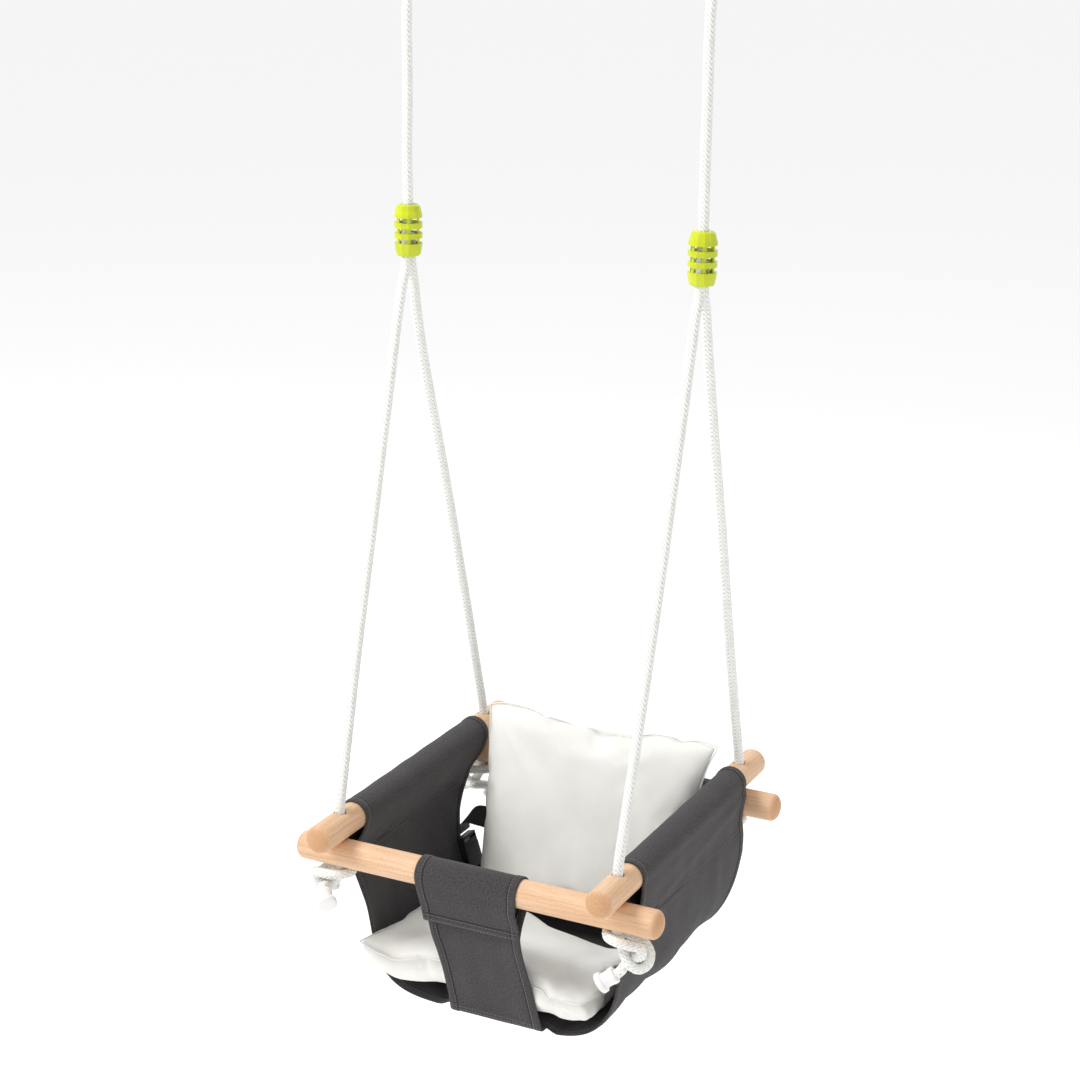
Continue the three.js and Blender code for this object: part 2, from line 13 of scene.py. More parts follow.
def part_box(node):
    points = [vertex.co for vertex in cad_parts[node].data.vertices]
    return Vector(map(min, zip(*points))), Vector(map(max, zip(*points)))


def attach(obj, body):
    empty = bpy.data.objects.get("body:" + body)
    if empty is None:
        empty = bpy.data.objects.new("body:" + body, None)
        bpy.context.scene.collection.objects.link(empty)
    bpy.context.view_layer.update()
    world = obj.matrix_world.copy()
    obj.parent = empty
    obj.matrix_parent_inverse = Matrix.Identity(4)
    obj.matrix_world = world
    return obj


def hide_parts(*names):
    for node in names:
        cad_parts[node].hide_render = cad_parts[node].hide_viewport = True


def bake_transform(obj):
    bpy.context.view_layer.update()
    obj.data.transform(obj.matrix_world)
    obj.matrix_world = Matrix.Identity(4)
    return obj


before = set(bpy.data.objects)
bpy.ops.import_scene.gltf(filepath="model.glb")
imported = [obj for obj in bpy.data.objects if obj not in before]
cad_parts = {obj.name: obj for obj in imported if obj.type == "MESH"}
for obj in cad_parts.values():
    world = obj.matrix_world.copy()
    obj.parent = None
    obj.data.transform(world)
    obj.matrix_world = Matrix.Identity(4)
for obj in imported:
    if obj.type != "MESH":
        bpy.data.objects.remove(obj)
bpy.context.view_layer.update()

# ---- measures taken from the frame ----
rod_lo, rod_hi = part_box("side_rod_right")
cross_lo, cross_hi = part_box("front_rod")
ROD_R = (rod_hi.z - rod_lo.z) / 2
ROD_HALF = rod_hi.y
HOLE = (rod_hi.x + rod_lo.x) / 2                # half the spacing of the rods and of the rope holes
SEAT_Z = (rod_hi.z + rod_lo.z) / 2
CROSS_Z = (cross_hi.z + cross_lo.z) / 2 - SEAT_Z  # axes of the cross rods, in seat coordinates
HANG_X = (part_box("hanging_ring_right")[0].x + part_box("hanging_ring_right")[1].x) / 2

ROPE_R = 0.005
CANVAS = 0.0013
HEM = 0.009
SIDES = (("left", -1), ("right", 1))


# ---- small tools ----
def spline(points, step):
    """Points about step apart along a smooth curve through the given points."""
    p = np.array(points, float)
    gap = np.sqrt(np.maximum(np.linalg.norm(np.diff(p, axis=0), axis=1), 1e-9))[:, None]
    slope = np.diff(p, axis=0) / gap
    inner = (slope[:-1] * gap[1:] + slope[1:] * gap[:-1]) / (gap[:-1] + gap[1:])
    tangent = np.concatenate([slope[:1], inner, slope[-1:]])
    dense = []
    for i in range(len(gap)):
        t = np.linspace(0, 1, 16, endpoint=i == len(gap) - 1)[:, None]
        h = (2 * t**3 - 3 * t**2 + 1, t**3 - 2 * t**2 + t, -2 * t**3 + 3 * t**2, t**3 - t**2)
        dense.append(h[0] * p[i] + h[1] * gap[i] * tangent[i]
                     + h[2] * p[i + 1] + h[3] * gap[i] * tangent[i + 1])
    return even(np.concatenate(dense), step)


def along(line):
    """Distance along a line at each of its points."""
    return np.concatenate([[0], np.cumsum(np.linalg.norm(np.diff(line, axis=0), axis=1))])


def even(line, step):
    """The same line with its points about step apart."""
    far = along(line)
    at = np.linspace(0, far[-1], max(2, round(far[-1] / step) + 1))
    return np.stack([np.interp(at, far, line[:, k]) for k in range(line.shape[1])], axis=1)


def unit(v):
    return v / np.maximum(np.linalg.norm(v, axis=-1, keepdims=True), 1e-12)


def smoothstep(value, low, high):
    t = np.clip((value - low) / (high - low), 0, 1)
    return t * t * (3 - 2 * t)


def ripple(p, size, seed):
    """A smooth unevenness between about -1 and 1, with waves about size long."""
    rng = np.random.default_rng(seed)
    total = 0
    for _ in range(6):
        direction = unit(rng.normal(size=3)) * rng.uniform(0.7, 1.5) * 2 * math.pi / size
        total = total + np.sin(p @ direction + rng.uniform(0, 2 * math.pi))
    return total / 3


def quads(rows, cols, wrap=False, flip=False, start=0):
    """Faces of a grid of points, as index quads; wrap joins the last column to the first."""
    i, j = np.meshgrid(np.arange(rows - 1), np.arange(cols if wrap else cols - 1), indexing="ij")
    k = (j + 1) % cols
    q = np.stack([i * cols + j, (i + 1) * cols + j, (i + 1) * cols + k, i * cols + k], axis=-1).reshape(-1, 4)
    return (q[:, ::-1] if flip else q) + start


def piece(name, points, faces, material, body="seat", slot=None, replaces=(), smooth=True):
    """A mesh object from points in seat coordinates, riding on a CAD body."""
    points = np.array(points, float).reshape(-1, 3) + (0, 0, SEAT_Z)
    mesh = bpy.data.meshes.new(name)
    mesh.from_pydata(points.tolist(), [], [tuple(int(k) for k in f) for f in faces])
    mesh.validate()
    if smooth:
        mesh.shade_smooth()
    obj = bpy.data.objects.new(name, mesh)
    bpy.context.scene.collection.objects.link(obj)
    mesh.materials.append(material)
    if body:
        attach(obj, body)
    if replaces:
        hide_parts(*replaces)
    return obj


def mark(obj, name, values):
    """Keeps one number, or one vector, for each of a piece's points, for its material to read."""
    values = np.asarray(values, np.float32)
    kind, field = ("FLOAT", "value") if values.ndim == 1 else ("FLOAT_VECTOR", "vector")
    obj.data.attributes.new(name, kind, "POINT").data.foreach_set(field, values.ravel())


def sharpen(obj, degrees):
    """Smooth shading, apart from edges that turn more than this."""
    obj.data.set_sharp_from_angle(angle=math.radians(degrees))


def lathe(profile, sides):
    """A closed solid of revolution about +Z; its profile runs from axis to axis, or is a ring's section."""
    profile = np.array(profile, float)
    ring = profile[:, 0].min() > 1e-6
    angle = np.linspace(0, 2 * math.pi, sides, endpoint=False)
    inner = profile if ring else profile[1:-1]
    grid = np.stack([
        inner[:, :1] * np.cos(angle), inner[:, :1] * np.sin(angle), np.repeat(inner[:, 1:], sides, axis=1),
    ], axis=-1).reshape(-1, 3)
    rows = len(inner)
    if ring:
        i, j = np.meshgrid(np.arange(rows), np.arange(sides), indexing="ij")
        a, b = (i + 1) % rows, (j + 1) % sides
        faces = np.stack([i * sides + j, i * sides + b, a * sides + b, a * sides + j], axis=-1)
        return grid, faces.reshape(-1, 4).tolist()
    tips = np.array([[0, 0, profile[0, 1]], [0, 0, profile[-1, 1]]])
    faces = quads(rows, sides, wrap=True, flip=True).tolist()
    first, last = len(grid), len(grid) + 1
    for j in range(sides):
        k = (j + 1) % sides
        faces.append((first, k, j))
        faces.append((last, (rows - 1) * sides + j, (rows - 1) * sides + k))
    return np.concatenate([grid, tips]), faces


def turned(points, direction, at):
    """Points made along +Z, turned to run along a direction and moved."""
    turn = Vector((0, 0, 1)).rotation_difference(Vector(direction)).to_matrix()
    return np.asarray(points) @ np.array(turn).T + np.asarray(at)


# ---- camera, light and floor ----
LENS = 76.67
CAMERA_AT = (0.99672, -2.02405, 0.99167)
AZIMUTH, ELEVATION, ROLL = 26.42, 17.30, 0.58
FLOOR_Z = -0.62
FLOOR_REACH = 40
FLOOR_GLOW = 0.28
WORLD_LIGHT = 0.68
# each with its place, size and watts, all turned to the seat
LIGHTS = (
    ("key", (-1.6, -1.45, 2.0), 1.3, 84),
    ("fill", (2.6, -1.2, 0.3), 2.0, 3),
    ("back", (-0.4, 2.6, 0.9), 2.4, 14),
)


def make_camera():
    az, el, roll = (math.radians(x) for x in (AZIMUTH, ELEVATION, ROLL))
    back = Vector((math.sin(az) * math.cos(el), -math.cos(az) * math.cos(el), math.sin(el)))
    level = Vector((math.cos(az), math.sin(az), 0))
    rise = back.cross(level)
    right = level * math.cos(roll) + rise * math.sin(roll)
    camera = bpy.data.objects.new("camera", bpy.data.cameras.new("camera"))
    camera.data.lens, camera.data.sensor_width = LENS, 36
    camera.matrix_world = Matrix.Translation(Vector(CAMERA_AT) + Vector((0, 0, SEAT_Z))) @ Matrix(
        (right, back.cross(right), back)).transposed().to_4x4()
    bpy.context.scene.collection.objects.link(camera)
    bpy.context.scene.camera = camera


def area_light(name, at, size, watts):
    light = bpy.data.lights.new(name, "AREA")
    light.size, light.energy = size, watts
    obj = bpy.data.objects.new(name, light)
    obj.location = Vector(at)
    obj.rotation_euler = (Vector((0, 0, SEAT_Z)) - Vector(at)).to_track_quat("-Z", "Y").to_euler()
    bpy.context.scene.collection.objects.link(obj)


def make_studio():
    for light in LIGHTS:
        area_light(*light)
    world = bpy.data.worlds.new("studio")
    world.use_nodes = True
    background = world.node_tree.nodes["Background"]
    background.inputs["Color"].default_value = (1, 1, 1, 1)
    background.inputs["Strength"].default_value = WORLD_LIGHT
    bpy.context.scene.world = world
    bpy.context.scene.view_settings.view_transform = "Standard"
    paint = new_material("floor", Base_Color=(0.93, 0.93, 0.93, 1), Roughness=0.9,
                         Emission_Color=(1, 1, 1, 1), Emission_Strength=FLOOR_GLOW)[0]
    corners = [(x * FLOOR_REACH, y * FLOOR_REACH, FLOOR_Z) for x, y in ((-1, -1), (1, -1), (1, 1), (-1, 1))]
    piece("floor", corners, [(0, 1, 2, 3)], paint, body=None, smooth=False)


# ---- materials ----
def connect(tree, value, socket):
    """Gives an input another node's socket, or a value."""
    if isinstance(value, bpy.types.NodeSocket):
        tree.links.new(value, socket)
    else:
        socket.default_value = value


def add(tree, kind, settings=None, **inputs):
    """A shader node; each input is given a value or another node's socket, and _ is a space in its name."""
    node = tree.nodes.new(kind)
    for key, value in (settings or {}).items():
        setattr(node, key, value)
    for key, value in inputs.items():
        connect(tree, value, node.inputs[key.replace("_", " ")])
    return node


def new_material(name, **uniform):
    """A material, its node tree and its shader, whose uniform inputs are set."""
    material = bpy.data.materials.new(name)
    material.use_nodes = True
    tree = material.node_tree
    shader = tree.nodes["Principled BSDF"]
    for key, value in uniform.items():
        shader.inputs[key.replace("_", " ")].default_value = value
    return material, tree, shader


def mix(tree, factor, a, b, blend="MIX"):
    """Two colours mixed; the factor and both colours are values or other nodes' sockets."""
    node = add(tree, "ShaderNodeMix", {"data_type": "RGBA", "blend_type": blend})
    for socket, value in ((0, factor), (6, a), (7, b)):     # its colours are sockets 6, 7 and output 2
        connect(tree, value, node.inputs[socket])
    return node.outputs[2]


def scaled(tree, vector, scale, offset=(0, 0, 0)):
    return add(tree, "ShaderNodeMapping", Vector=vector, Scale=scale, Location=offset).outputs[0]


def ramp(tree, value, low, high):
    """A smooth step from 0 at low to 1 at high."""
    return add(tree, "ShaderNodeMapRange", {"interpolation_type": "SMOOTHSTEP"}, Value=value, From_Min=low,
               From_Max=high).outputs[0]


def noise(tree, vector, scale, detail=2.0, roughness=0.5):
    return add(tree, "ShaderNodeTexNoise", Vector=vector, Scale=scale, Detail=detail,
               Roughness=roughness).outputs[0]


def wave(tree, vector, direction, **inputs):
    """Parallel bands across one direction, X or Y."""
    node = add(tree, "ShaderNodeTexWave", {"bands_direction": direction}, Vector=vector, **inputs)
    return node.outputs["Fac"]


def calculated(tree, operation, *values):
    node = add(tree, "ShaderNodeMath", {"operation": operation})
    for socket, value in zip(node.inputs, values):
        connect(tree, value, socket)
    return node.outputs[0]


def finish(tree, shader, color, height, distance):
    """Gives a shader its colour, and bumps as high as distance."""
    tree.links.new(color, shader.inputs["Base Color"])
    tree.links.new(add(tree, "ShaderNodeBump", Height=height, Distance=distance).outputs[0],
                   shader.inputs["Normal"])


def marked(tree, name, output="Fac"):
    """What mark() keeps on the piece's points."""
    return add(tree, "ShaderNodeAttribute", {"attribute_name": name}).outputs[output]


def object_place(tree):
    return add(tree, "ShaderNodeTexCoord").outputs["Object"]


def beech():
    """Unvarnished beech: faint growth rings, short dark flecks along the grain, and browner end grain."""
    material, tree, shader = new_material("beech", Roughness=0.5, Specular_IOR_Level=0.35)
    grain = marked(tree, "grain", "Vector")
    bands = noise(tree, scaled(tree, grain, (7, 70, 70)), 1, 3)
    rings = add(tree, "ShaderNodeTexWave", {"wave_type": "RINGS", "rings_direction": "X"},
                Vector=scaled(tree, grain, (1, 40, 40), (0, 0.5, 0.9)), Scale=3.2, Distortion=5, Detail=2,
                Detail_Scale=1.4).outputs["Fac"]
    flecks = ramp(tree, noise(tree, scaled(tree, grain, (330, 2100, 2100)), 1, 1), 0.60, 0.70)
    streaks = noise(tree, scaled(tree, grain, (25, 900, 900)), 1, 2)
    color = mix(tree, ramp(tree, bands, 0.3, 0.7), (0.76, 0.485, 0.295, 1), (0.85, 0.59, 0.39, 1))
    color = mix(tree, ramp(tree, rings, 0.55, 1.3), color, (0.70, 0.44, 0.26, 1))
    color = mix(tree, ramp(tree, streaks, 0.35, 1.1), color, (0.55, 0.30, 0.15, 1))
    color = mix(tree, calculated(tree, "MULTIPLY", flecks, 0.42), color, (0.40, 0.21, 0.10, 1))
    end = mix(tree, ramp(tree, streaks, 0.3, 0.8), (0.66, 0.38, 0.20, 1), (0.55, 0.295, 0.145, 1))
    finish(tree, shader, mix(tree, marked(tree, "end"), color, end), streaks, 0.00008)
    return material


def braided_rope():
    """White braided polyester: bright plaits, painted shade (greyer and yellower) down between them, fine
    fibres.
    """
    material, tree, shader = new_material("braided_rope", Roughness=0.62, Sheen_Weight=0.25,
                                          Sheen_Roughness=0.5)
    place = object_place(tree)
    height = ramp(tree, marked(tree, "relief"), 0.1, 0.75)
    # painted shade: darker, greyer and yellower down between the plaits, where the relief is low
    color = mix(tree, height, (0.36, 0.35, 0.29, 1), (0.94, 0.94, 0.915, 1))
    color = mix(tree, ramp(tree, noise(tree, place, 60), 0.4, 0.75), color, (0.84, 0.835, 0.79, 1))
    finish(tree, shader, color, noise(tree, place, 2600, 2), 0.00012)
    return material


def woven(name, light, dark, thread, sheen, fuzz, crease_shade_color):
    """Plain woven cotton: crossing threads in the cloth's own coordinates, slubs, and painted shade in its
    folds and seams.
    """
    material, tree, shader = new_material(name, Roughness=0.88, Sheen_Weight=sheen, Sheen_Roughness=0.45,
                                          Specular_IOR_Level=0.2)
    cloth = marked(tree, "cloth", "Vector")
    turns = 2 * math.pi / (20 * thread)
    weave = calculated(tree, "MULTIPLY", *(wave(tree, cloth, direction, Scale=turns, Distortion=0.6,
                                                Detail_Scale=0.3) for direction in "XY"))
    slubs = noise(tree, scaled(tree, cloth, (260, 1500, 1)), 1, 2)
    mottle = noise(tree, cloth, 520, 3, 0.75)
    broad = noise(tree, cloth, 16, 2)
    color = mix(tree, ramp(tree, mottle, 0.3, 0.7), dark, light)
    color = mix(tree, ramp(tree, slubs, 0.62, 0.8), color, fuzz)
    tint = mix(tree, ramp(tree, broad, 0.25, 0.8), (0.94, 0.94, 0.94, 1), (1.04, 1.04, 1.04, 1))
    color = mix(tree, 1.0, color, tint, "MULTIPLY")
    # painted shade: darker along folds, hem edges and sewn seams
    color = mix(tree, marked(tree, "crease_shade"), color, crease_shade_color)
    finish(tree, shader, color, calculated(tree, "MULTIPLY_ADD", mottle, 0.6, weave), thread * 0.22)
    return material


def moulded(name, color, shade, roughness, glow=0.0):
    """Moulded plastic: faint flow marks, fine texture, and slightly darker in places."""
    material, tree, shader = new_material(name, Roughness=roughness, Subsurface_Weight=glow,
                                          Subsurface_Scale=0.004)
    place = object_place(tree)
    flow = noise(tree, scaled(tree, place, (60, 60, 140)), 1, 3)
    color = mix(tree, ramp(tree, flow, 0.3, 0.75), color, shade)
    finish(tree, shader, color, noise(tree, place, 1800, 2), 0.00003)
    return material


def thread(name, color, shade):
    material, tree, shader = new_material(name, Roughness=0.7, Sheen_Weight=0.2)
    place = object_place(tree)
    color = mix(tree, noise(tree, place, 300), color, shade)
    finish(tree, shader, color, noise(tree, place, 4000), 0.00005)
    return material


def ribbed_webbing():
    """Black polypropylene webbing: close ribs across the band, with painted shade between them, a painted
    shine on their tops, and a faint sheen.
    """
    material, tree, shader = new_material("ribbed_webbing", Roughness=0.55, Sheen_Weight=0.15)
    cloth = marked(tree, "cloth", "Vector")
    ribs = wave(tree, cloth, "X", Scale=165, Distortion=0.4)
    relief = calculated(tree, "MULTIPLY_ADD", wave(tree, cloth, "Y", Scale=200), 0.5, ribs)
    # painted shade and shine: darker between the ribs, lighter on their tops
    color = mix(tree, ramp(tree, relief, 0.2, 1.4), (0.006, 0.006, 0.007, 1), (0.030, 0.029, 0.031, 1))
    finish(tree, shader, color, relief, 0.0003)
    return material


def zinc_steel():
    """Zinc plated steel wire: mottled bluish grey with fine drawing lines."""
    material, tree, shader = new_material("zinc_steel", Metallic=1.0)
    place = object_place(tree)
    mottle = noise(tree, place, 260, 3)
    color = mix(tree, mottle, (0.50, 0.52, 0.54, 1), (0.74, 0.75, 0.77, 1))
    rough = add(tree, "ShaderNodeMapRange", Value=mottle, To_Min=0.22, To_Max=0.42).outputs[0]
    tree.links.new(rough, shader.inputs["Roughness"])
    finish(tree, shader, color, noise(tree, scaled(tree, place, (300, 300, 3000)), 1), 0.00003)
    return material


BEECH = beech()
ROPE = braided_rope()
# the last colour of each cloth is the painted shade in its folds and seams
CHARCOAL = woven("charcoal_canvas", (0.086, 0.080, 0.082, 1), (0.038, 0.035, 0.036, 1), 0.0008, 0.12,
                 (0.105, 0.098, 0.100, 1), (0.020, 0.018, 0.019, 1))
COTTON = woven("white_cotton", (0.97, 0.96, 0.915, 1), (0.93, 0.92, 0.87, 1), 0.0006, 0.1,
               (0.89, 0.885, 0.86, 1), (0.72, 0.71, 0.66, 1))
WHITE_PLASTIC = moulded("white_plastic", (0.90, 0.90, 0.885, 1), (0.86, 0.86, 0.845, 1), 0.38, 0.15)
GREEN_PLASTIC = moulded("green_plastic", (0.60, 0.675, 0.012, 1), (0.51, 0.595, 0.010, 1), 0.32, 0.12)
BLACK_PLASTIC = moulded("black_plastic", (0.012, 0.012, 0.013, 1), (0.018, 0.018, 0.019, 1), 0.42)
GREY_THREAD = thread("grey_thread", (0.25, 0.22, 0.21, 1), (0.15, 0.13, 0.125, 1))
BLACK_THREAD = thread("black_thread", (0.035, 0.034, 0.035, 1), (0.02, 0.02, 0.02, 1))
WEBBING = ribbed_webbing()
STEEL = zinc_steel()

# ---- ropes ----
ROPE_STEP = 0.0006
ROPE_SIDES = 40
PLAIT_COLUMNS = 6
PLAIT_PITCH = 0.0048
PLAIT_SLANT = 1.3
PLAIT_RELIEF = 0.0013

# every rope from under its rod up to the adjuster, as the CAD tubes run: the distances out from the middle
# and the heights are shared, and each rope has its own distances from the adjusters' plane
LOWER = ((0.158, 0.158, -0.0456), (0.158, 0.158, -0.020), (0.158, 0.158, 0.004), (0.158, 0.1578, 0.016))
RISE = (
    (0.158, 0.032), (0.1583, 0.068), (0.1586, 0.106), (0.1588, 0.148), (0.1592, 0.188), (0.1596, 0.228),
    (0.1599, 0.268), (0.1602, 0.308), (0.1605, 0.348), (0.1608, 0.388), (0.1611, 0.428), (0.1614, 0.468),
    (0.1617, 0.508), (0.1619, 0.544), (0.162, 0.558), (0.162, 0.567),
)
FRONT_ROPE_Y = {
    "left": (0.1548, 0.146, 0.136, 0.1255, 0.1145, 0.103, 0.0915, 0.080, 0.069, 0.058, 0.0465, 0.0355,
             0.0245, 0.0126, 0.0059, 0.0052),
    "right": (0.1544, 0.143, 0.1315, 0.119, 0.107, 0.0955, 0.084, 0.073, 0.0625, 0.052, 0.0415, 0.0315,
              0.0215, 0.0122, 0.0059, 0.0052),
}
REAR_ROPE_Y = {
    "left": (0.1546, 0.1445, 0.134, 0.1225, 0.111, 0.0995, 0.088, 0.076, 0.0635, 0.0505, 0.0375, 0.026,
             0.016, 0.0095, 0.006, 0.00525),
    "right": (0.1542, 0.143, 0.132, 0.120, 0.109, 0.098, 0.0875, 0.0765, 0.065, 0.053, 0.0415, 0.0305,
              0.020, 0.0115, 0.006, 0.00525),
}
REAR_ROPE_END = (0.162, 0.00535, 0.592)
# from inside the adjuster, and then up to the ferrule with a slight sway
THROUGH_ADJUSTER = (
    (0.162, -0.00535, 0.590), (0.162, -0.003, 0.602), (0.162, -0.0003, 0.613), (0.162, 0, 0.624),
)
UPPER = {
    "left": ((0.1624, -0.0005, 0.680), (0.1618, 0.0004, 0.740), (0.162, 0, 0.800)),
    "right": ((0.1617, 0.0005, 0.680), (0.1623, -0.0004, 0.740), (0.162, 0, 0.800)),
}
# from the plain rope into the ferrule and up to the top of the thimble, as (y, z); its way down is the same
EYE_RISE = (
    (0.0015, 0.828), (0.0046, 0.846), (0.00535, 0.858), (0.00535, 0.873), (0.0054, 0.8795), (0.0072, 0.887),
    (0.011, 0.8965), (0.0154, 0.908), (0.0189, 0.9185), (0.020, 0.926), (0.0186, 0.9325), (0.0146, 0.9387),
    (0.008, 0.9433), (0, 0.945),
)
EYE_FALL = tuple((-y, z) for y, z in EYE_RISE[-2:2:-1]) + ((-0.00535, 0.865),)


def plaits(far, angle):
    """Height of the braid's slanting plaits, 0 to 1, at a distance along the rope and an angle round it."""
    column = angle / (2 * math.pi) * PLAIT_COLUMNS
    across = column - np.floor(column) - 0.5
    slant = np.where(np.floor(column) % 2 == 0, 1, -1)
    width = 2 * math.pi * ROPE_R / PLAIT_COLUMNS
    q = (far - slant * PLAIT_SLANT * across * width) / PLAIT_PITCH
    g = q - np.round(q)
    return np.sqrt(np.clip(1 - (2 * g) ** 2, 0, 1)) * np.sqrt(1 - 0.45 * (2 * np.abs(across)) ** 4)


def rope(name, route, replaces):
    """A braided rope along a route in seat coordinates; returns it and its centre line in the frame's."""
    line = spline(route, ROPE_STEP)
    direction = unit(np.gradient(line, axis=0))
    normal = np.zeros_like(line)
    normal[0] = unit(np.cross(direction[0], (1.0, 0.02, 0.01)))
    for i in range(1, len(line)):
        normal[i] = unit(normal[i - 1] - direction[i] * (normal[i - 1] @ direction[i]))
    side = np.cross(direction, normal)
    angle = np.linspace(0, 2 * math.pi, ROPE_SIDES, endpoint=False)
    relief = plaits(along(line)[:, None], angle[None, :])
    radius = (ROPE_R - 0.75 * PLAIT_RELIEF + PLAIT_RELIEF * relief)[..., None]
    ring = radius * (np.cos(angle)[:, None] * normal[:, None] + np.sin(angle)[:, None] * side[:, None])
    points = (line[:, None] + ring).reshape(-1, 3)
    faces = quads(len(line), ROPE_SIDES, wrap=True, flip=True).tolist()
    faces += [list(range(ROPE_SIDES)), [len(points) - 1 - k for k in range(ROPE_SIDES)]]
    obj = piece(name, points, faces, ROPE, slot="rope", replaces=replaces)
    # the relief also sets the painted shade between the plaits in the rope's material
    mark(obj, "relief", relief.ravel())
    return obj, even(line, 0.004) + (0, 0, SEAT_Z)


# the knot as (outwards along x, outwards along y, z) from the hole, down to where its tail turns out
KNOT_ROUTE = (
    (0, 0, -0.040), (0.0005, 0, -0.049), (0.004, -0.001, -0.058), (0.009, 0.002, -0.067),
    (0.016, 0.005, -0.076), (0.025, 0.002, -0.0815), (0.0325, -0.003, -0.077), (0.033, -0.008, -0.067),
    (0.025, -0.011, -0.058), (0.012, -0.012, -0.054), (-0.003, -0.011, -0.052), (-0.011, -0.004, -0.051),
    (-0.006, 0.006, -0.052), (0.005, 0.010, -0.053), (0.018, 0.0095, -0.054), (0.028, 0.005, -0.057),
    (0.0285, 0.003, -0.065), (0.021, -0.001, -0.071), (0.012, -0.007, -0.074),
)


def cap_place(node):
    """The mouth of a CAD end cap and the direction that it points, in seat coordinates."""
    points = np.array([v.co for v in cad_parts[node].data.vertices], float) - (0, 0, SEAT_Z)
    centre = points.mean(axis=0)
    axis = np.linalg.svd(points - centre)[2][0]
    far = (points - centre) @ axis
    wide = np.linalg.norm(points - centre - np.outer(far, axis), axis=1)
    if far[wide > 0.0095].mean() < 0:      # the wider disc is at the far end
        axis, far = -axis, -far
    return centre + axis * far.min(), axis


def end_cap(corner):
    """A turned cap with a collar at its mouth and a wider disc at its end; also its mouth and direction."""
    mouth, axis = cap_place(f"end_cap_{corner}")
    profile = [(0, 0.009), (0.0052, 0.009), (0.0053, 0.0007), (0.0058, 0.0001), (0.0078, 0), (0.0084, 0.0004),
               (0.0087, 0.0012), (0.0087, 0.0045), (0.0085, 0.0053), (0.0081, 0.0058), (0.0080, 0.0065),
               (0.0079, 0.0125), (0.0082, 0.0134), (0.0098, 0.0140), (0.0106, 0.0146), (0.0109, 0.0155),
               (0.0109, 0.0180), (0.0106, 0.0193), (0.0097, 0.0201), (0.0075, 0.0205), (0, 0.0207)]
    points, faces = lathe(profile, 64)
    obj = piece(f"rope_cap_{corner}", turned(points, axis, mouth), faces, WHITE_PLASTIC, slot="white_plastic",
                replaces=[f"end_cap_{corner}"])
    sharpen(obj, 50)
    return obj, mouth, axis


def knot(corner, x_side, y_side, mouth, axis):
    """A knot under a corner, ending in its cap; the right rear one hangs inwards, behind the sling."""
    outwards = -0.62 if corner == "rear_right" else 1
    turn = np.array((x_side * outwards, y_side, 1))
    route = [turn * p + (x_side * HOLE, y_side * HOLE, 0) for p in KNOT_ROUTE]
    route += [mouth - axis * 0.006, mouth + axis * 0.0085]
    return rope(f"rope_knot_{corner}", route, [f"knot_{corner}"])[0]


def rising(distances):
    """A lower rope's route from its rod to the adjuster, given how far it is from the adjusters' plane."""
    return list(LOWER) + [(x, y, z) for (x, z), y in zip(RISE, distances)]


def make_ropes():
    for side, s in SIDES:
        for row, y_side in (("front", -1), ("rear", 1)):
            corner = f"{row}_{side}"
            cap, mouth, axis = end_cap(corner)
            knot(corner, s, y_side, mouth, axis)
        hanging = [(x, -y, z) for x, y, z in rising(FRONT_ROPE_Y[side])]
        hanging += THROUGH_ADJUSTER + UPPER[side] + tuple((HANG_X, y, z) for y, z in EYE_RISE + EYE_FALL)
        rear = rising(REAR_ROPE_Y[side]) + [REAR_ROPE_END]
        for name, row, route, nodes in (("hanging", "front", hanging, ("long", "eye")),
                                        ("rear", "rear", rear, ("short",))):
            downwards = [(s * x, y, z) for x, y, z in route][::-1]
            obj, line = rope(f"rope_{side}_{name}", downwards, [f"rope_{side}_{node}" for node in nodes])
            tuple(line[0])
            along(line)[-1]


# ---- rods ----
ROD_DOME = 0.009
HOLE_R = 0.0066
HOLE_RIM = 0.0007


def settle(obj):
    """Replaces a piece's mesh by what its modifiers make of it."""
    shown = obj.evaluated_get(bpy.context.evaluated_depsgraph_get())
    mesh = bpy.data.meshes.new_from_object(shown)
    obj.modifiers.clear()
    obj.data = mesh


def rod(node, axis, at, number):
    """A dowel with domed ends and two rope holes, its grain running along it."""
    rise = [(ROD_R * math.cos(a), ROD_HALF - ROD_DOME + ROD_DOME * math.sin(a))
            for a in np.linspace(0, math.pi / 2, 12)]
    middle = [(ROD_R, z) for z in np.linspace(-0.19, 0.19, 30)]     # stays clear of the domes
    profile = [(r, -z) for r, z in rise[::-1]] + middle + rise
    profile[0], profile[-1] = (0, -ROD_HALF), (0, ROD_HALF)
    points, faces = lathe(profile, 96)
    obj = piece(f"dowel_{node}", turned(points, axis, at), faces, BEECH, slot="beech", replaces=[node])
    drills = []
    for end in (-1, 1):
        reach = 2 * ROD_R
        points, faces = lathe([(0, -reach), (HOLE_R, -reach), (HOLE_R, reach), (0, reach)], 48)
        place = np.array(at) + np.array(axis) * end * HOLE
        drills.append(piece(f"drill_{end}", points + place, faces, BEECH, body=None))
        cut = obj.modifiers.new("hole", "BOOLEAN")
        cut.object, cut.operation, cut.solver = drills[-1], "DIFFERENCE", "EXACT"
    rim = obj.modifiers.new("rim", "BEVEL")
    rim.width, rim.segments = HOLE_RIM, 2
    rim.limit_method, rim.angle_limit = "ANGLE", math.radians(40)
    settle(obj)
    for drill in drills:
        bpy.data.objects.remove(drill)
    sharpen(obj, 40)
    here = np.array([v.co for v in obj.data.vertices], float) - (0, 0, SEAT_Z) - at
    far = here @ np.array(axis, float)
    others = np.delete(here, int(np.argmax(np.abs(axis))), axis=1)
    mark(obj, "grain", np.column_stack([far + number * 0.7, others[:, 0] + number * 0.045, others[:, 1]]))
    mark(obj, "end", smoothstep(np.abs(far), ROD_HALF - ROD_DOME, ROD_HALF - 0.25 * ROD_DOME))


